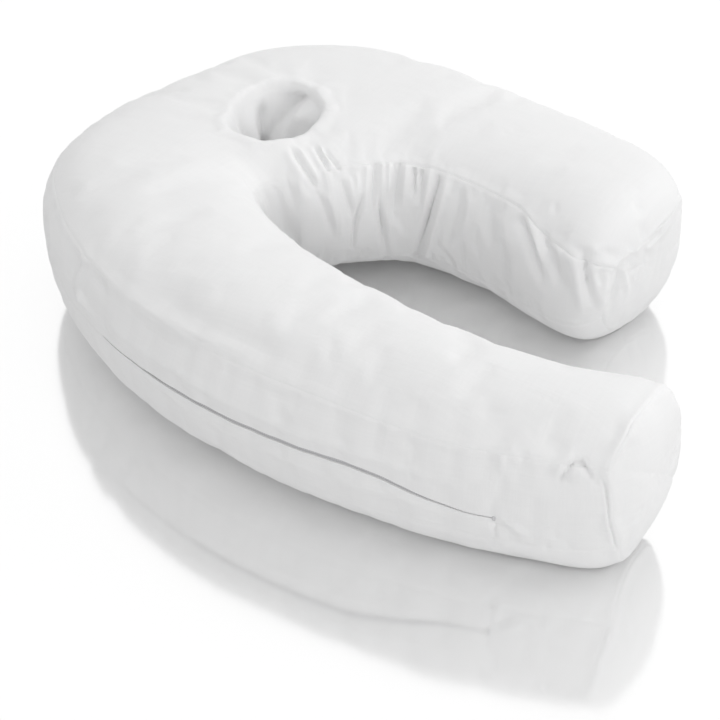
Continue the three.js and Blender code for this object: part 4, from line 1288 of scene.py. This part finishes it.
def build_end_panel(name, node, is_near):
    """The panel that closes an arm's end, ring by ring from its middle to its seam."""
    turn = even_rows(PANEL_RINGS[-1], OUTER_LOW, 360 + OUTER_LOW, PANEL_ROWS + 1)[:-1]
    rings = np.concatenate([[FIRST_RING], np.linspace(*PANEL_MIDDLE), np.linspace(*PANEL_RIM)])
    rings = line_at_share(rings)
    angles, line = np.meshgrid(turn, rings if is_near else LAST - rings)
    outer = cloth_grid(line, angles)
    inner = cloth_grid(line, angles, CLOTH)
    rings, down = outer.shape[:2]
    count = rings * down
    poles = [outer[0].mean(0), inner[0].mean(0)]
    faces = []

    def join(corners):
        faces.append(corners if is_near else corners[::-1])

    for r in range(down):
        n = (r + 1) % down
        join((2 * count, n, r))
        join((2 * count + 1, count + r, count + n))
        for k in range(rings - 1):
            a, b, d, e = quad(down, k, r, n)
            join((a, b, d, e))
            join((count + a, count + e, count + d, count + b))
        a, b = (rings - 1) * down + r, (rings - 1) * down + n
        join((a, b, count + b, count + a))
    points = np.vstack([outer.reshape(-1, 3), inner.reshape(-1, 3), poles])
    middle = points[:, :2] - points[:, :2].mean(0)
    axis = NEAR_AXIS if is_near else FAR_AXIS
    grain = np.column_stack([middle @ np.array([-axis[1], axis[0]]), points[:, 2]])
    panel = make_object(name, points, faces, COTTON, grain)
    fasten(panel, node)


SLEEVE_MARKS = (0.02, 0.98, 240)
SLEEVE_LEVELS = 70
SLEEVE_RADIUS = 0.035


def build_sleeve(top_loop, under_loop):
    """The pleated lining of the ear hole, from its upper lip to its lower one."""
    total = top_loop[:, 2].mean() * 1000
    wall = ear_wall_marks(total)
    marks = np.linspace(*SLEEVE_MARKS)
    depths = curve_through(wall, marks * (len(wall) - 1))[:, 1]
    lined = marks[(depths > LINING_DEPTH) & (depths < total - LINING_DEPTH)]
    levels = np.linspace(lined[0], lined[-1], SLEEVE_LEVELS)
    inside = ear_wall_points(top_loop, under_loop, levels, LINING_OUTWARD)
    outside = ear_wall_points(top_loop, under_loop, levels, LINING_BACK_OUTWARD)
    rings, around = inside.shape[:2]
    inside = np.concatenate([inside, inside[:, :1]], axis=1)
    outside = np.concatenate([outside, outside[:, :1]], axis=1)
    turn = np.linspace(0, 2 * math.pi * SLEEVE_RADIUS, around + 1)
    grain = np.stack([np.repeat(turn[None, :], rings, axis=0), inside[..., 2]], axis=-1)
    sleeve = shell("ear_lining", inside, outside, grain, COTTON)
    declare_sheet(sleeve, "ear_sleeve")


# The concealed zip behind its slit
TAPE_HALF = 8.0
TAPE_DEPTH = 1.5
TAPE_THICKNESS = 0.4
COIL_DEPTH = 2.3
COIL_PITCH = 1.6
COIL_RADII = (1.5, 0.55)
COIL_WIRE = 0.34
COIL_SIDES = 5
TAPE_SLOT_HALF = 0.25
TAPE_DIP = 0.25
TAPE_PAST_END = 0.03
TAPE_SPACING = 3.0
STOP_HALF = (0.0022, 0.0011, 0.0011)
STOP_DEPTH = 0.1
STOP_ROUNDING = 0.6
STOP_CAP = 0.25
STOP_WAIST = (0.18, 0.35)


def unit(vectors):
    return vectors / np.linalg.norm(vectors, axis=-1, keepdims=True)


def zip_place(line, aside, depth):
    """Points beside the zip's middle line: aside in millimetres up the wall, depth under the cover."""
    middle = angle_of_height(zip_height(line))
    turn = skin(line, middle + 1.0)[0] - skin(line, middle - 1.0)[0]
    angle = middle + 2.0 * aside / np.linalg.norm(turn, axis=-1)
    return cloth_grid(line, np.mod(angle, 360), depth)


def build_tape():
    """The tape in the slit, darker than its own grey as painted shade for the slit's shadow, and a little
    lower in its middle.
    """
    columns = even_columns(ZIP_FROM - TAPE_PAST_END, ZIP_TO + TAPE_PAST_END, TAPE_SPACING)
    half = np.linspace(TAPE_SLOT_HALF, TAPE_HALF, 7)
    aside = np.concatenate([-half[::-1], half])
    line, across = np.meshgrid(columns, aside, indexing="ij")
    dip = np.where(np.abs(across) < 2 * TAPE_SLOT_HALF, TAPE_DIP, 0.0)
    outer = zip_place(line, across, TAPE_DEPTH + dip)
    inner = zip_place(line, across, TAPE_DEPTH + TAPE_THICKNESS)
    lay_sheet("zip_tape_cloth", "zip_tape", columns, outer, inner, across / 1000, TAPE_WITH_PAINTED_SHADE)


def build_coil():
    """The zip's coil: a wire that winds along the slit."""
    start, end = length_at(ZIP_FROM), length_at(ZIP_TO)
    turns = int((end - start) / COIL_PITCH)
    steps = np.linspace(0, turns, turns * 10 + 1)
    line = np.interp(start + steps * COIL_PITCH, ARM_LENGTH, FINE_LINES)
    phase = steps * 2 * math.pi
    centres = zip_place(line, COIL_RADII[0] * np.cos(phase), COIL_DEPTH + COIL_RADII[1] * np.sin(phase))
    ahead = unit(np.gradient(centres, axis=0))
    level = unit(np.cross(ahead, [0.0, 0.0, 1.0]))
    upright = np.cross(level, ahead)
    rings = []
    for corner in range(COIL_SIDES):
        a = corner * 2 * math.pi / COIL_SIDES
        rings.append(centres + (level * math.cos(a) + upright * math.sin(a)) * COIL_WIRE / 1000)
    points = np.stack(rings, axis=1).reshape(-1, 3)
    faces = capped_tube(len(centres), COIL_SIDES)
    fasten(make_object("zip_coil", points, faces, COIL), None)


def rounded_block(centre, axes, half, bevel, name, material):
    """A small block with rounded edges and a waist, as a crimped stop."""
    points = []
    around, rows = 16, 9
    for i in range(rows):
        v = -1 + 2 * i / (rows - 1)
        cap = (1 - abs(v) ** 4) ** 0.25 if abs(v) < 1 else 0.0
        size = max(cap, STOP_CAP) * (1 - STOP_WAIST[0] * math.exp(-((v / STOP_WAIST[1]) ** 2)))
        for k in range(around):
            a = 2 * math.pi * k / around
            c, d = math.cos(a), math.sin(a)
            x = math.copysign(abs(c) ** bevel, c) * half[1] * size
            y = math.copysign(abs(d) ** bevel, d) * half[2] * size
            points.append(centre + axes[0] * v * half[0] + axes[1] * x + axes[2] * y)
    return make_object(name, np.array(points), capped_tube(rows, around), material)


def build_zip_stop():
    """The crimped stop across the near end of the slit."""
    line = np.array([ZIP_FROM + 0.01])
    depth = np.array([STOP_DEPTH])
    place = zip_place(line, np.array([0.0]), depth)[0]
    ahead = unit(zip_place(line + 0.02, np.array([0.0]), depth)[0] - place)
    up = unit(zip_place(line, np.array([1.0]), depth)[0] - place)
    axes = up, ahead, unit(np.cross(up, ahead))
    stop = rounded_block(place, axes, STOP_HALF, STOP_ROUNDING, "zip_stop", STOP_METAL)
    fasten(stop, "zip_end_stop")


FLOOR_HALF = 6.0
FLOOR_DROP = 0.0004

# Lights aimed at the middle: place, width and length in metres, and watts
LIGHTS = {
    "top": ((0.0, 0.1, 2.4), (1.8, 1.8), 11),
    "right": ((2.0, -0.3, 0.8), (1.4, 1.0), 6),
    "right_front": ((1.6, -1.8, 0.9), (1.4, 1.0), 7),
    "right_back": ((1.2, 1.8, 1.4), (1.4, 1.2), 14),
    "back": ((-1.6, 2.4, 1.7), (4.4, 2.6), 18),
}
WORLD_STRENGTH = 0.6
WORLD_SEEN_EXTRA = 0.45


def build_floor():
    material, tree, shader = new_material("pale_surface")
    shader.inputs["Base Color"].default_value = (0.95, 0.95, 0.95, 1)
    shader.inputs["Metallic"].default_value = 0.86
    shader.inputs["Roughness"].default_value = 0.12
    shader.inputs["Emission Color"].default_value = (1, 1, 1, 1)
    shader.inputs["Emission Strength"].default_value = 0.02
    corners = [(-1, -1), (1, -1), (1, 1), (-1, 1)]
    points = np.array([(x * FLOOR_HALF, y * FLOOR_HALF, -FLOOR_DROP) for x, y in corners])
    floor = make_object("floor", points, [(0, 1, 2, 3)], material, None, False)


def area_light(name, place, size, watts):
    data = bpy.data.lights.new(name, "AREA")
    data.shape = "RECTANGLE"
    data.size, data.size_y = size
    data.energy = watts
    light = bpy.data.objects.new(name, data)
    bpy.context.scene.collection.objects.link(light)
    light.location = place
    light.visible_glossy = False
    light.rotation_mode = "QUATERNION"
    light.rotation_quaternion = (Vector() - Vector(place)).to_track_quat("-Z", "Y")


def build_studio():
    scene = bpy.context.scene
    scene.view_settings.view_transform = "Standard"
    world = bpy.data.worlds.new("studio")
    scene.world = world
    world.use_nodes = True
    tree = world.node_tree
    background = tree.nodes.get("Background")
    if background is None:
        background = tree.nodes.new("ShaderNodeBackground")
        output = tree.nodes.new("ShaderNodeOutputWorld")
        tree.links.new(background.outputs[0], output.inputs[0])
    background.inputs["Color"].default_value = (1, 1, 1, 1)
    path = tree.nodes.new("ShaderNodeLightPath")
    seen = math_node(tree, "MAXIMUM", path.outputs["Is Camera Ray"], path.outputs["Is Glossy Ray"])
    strength = math_node(tree, "ADD", math_node(tree, "MULTIPLY", seen, WORLD_SEEN_EXTRA), WORLD_STRENGTH)
    tree.links.new(strength, background.inputs["Strength"])
    for name, light in LIGHTS.items():
        area_light(name, *light)


make_camera()
top_mouth, low_mouth = build_cushion()
build_band("inner_wall_cloth", "inner_band", inner_high, lambda line: INNER_LOW, 44,
           [3.0, 5.0, 1.8, 1.8, 1.8, 1.8, 1.9])
build_band("outer_wall_upper_cloth", "outer_band_upper", lambda line: float(zip_angles(line)[1]),
           outer_high, 26, [1.5, 2.6, 3.2, 3.2, 3.2, 3.2, 2.4])
build_band("outer_wall_lower_cloth", "outer_band_lower", lambda line: OUTER_LOW,
           lambda line: float(zip_angles(line)[0]), 18, [1.8, 2.6, 3.2, 3.2, 3.2, 3.2, 2.6])
build_end_panel("near_end_cloth", "near_end_panel", True)
build_end_panel("far_end_cloth", "far_end_panel", False)
build_sleeve(top_mouth, low_mouth)
build_tape()
build_coil()
build_zip_stop()
build_floor()
build_studio()
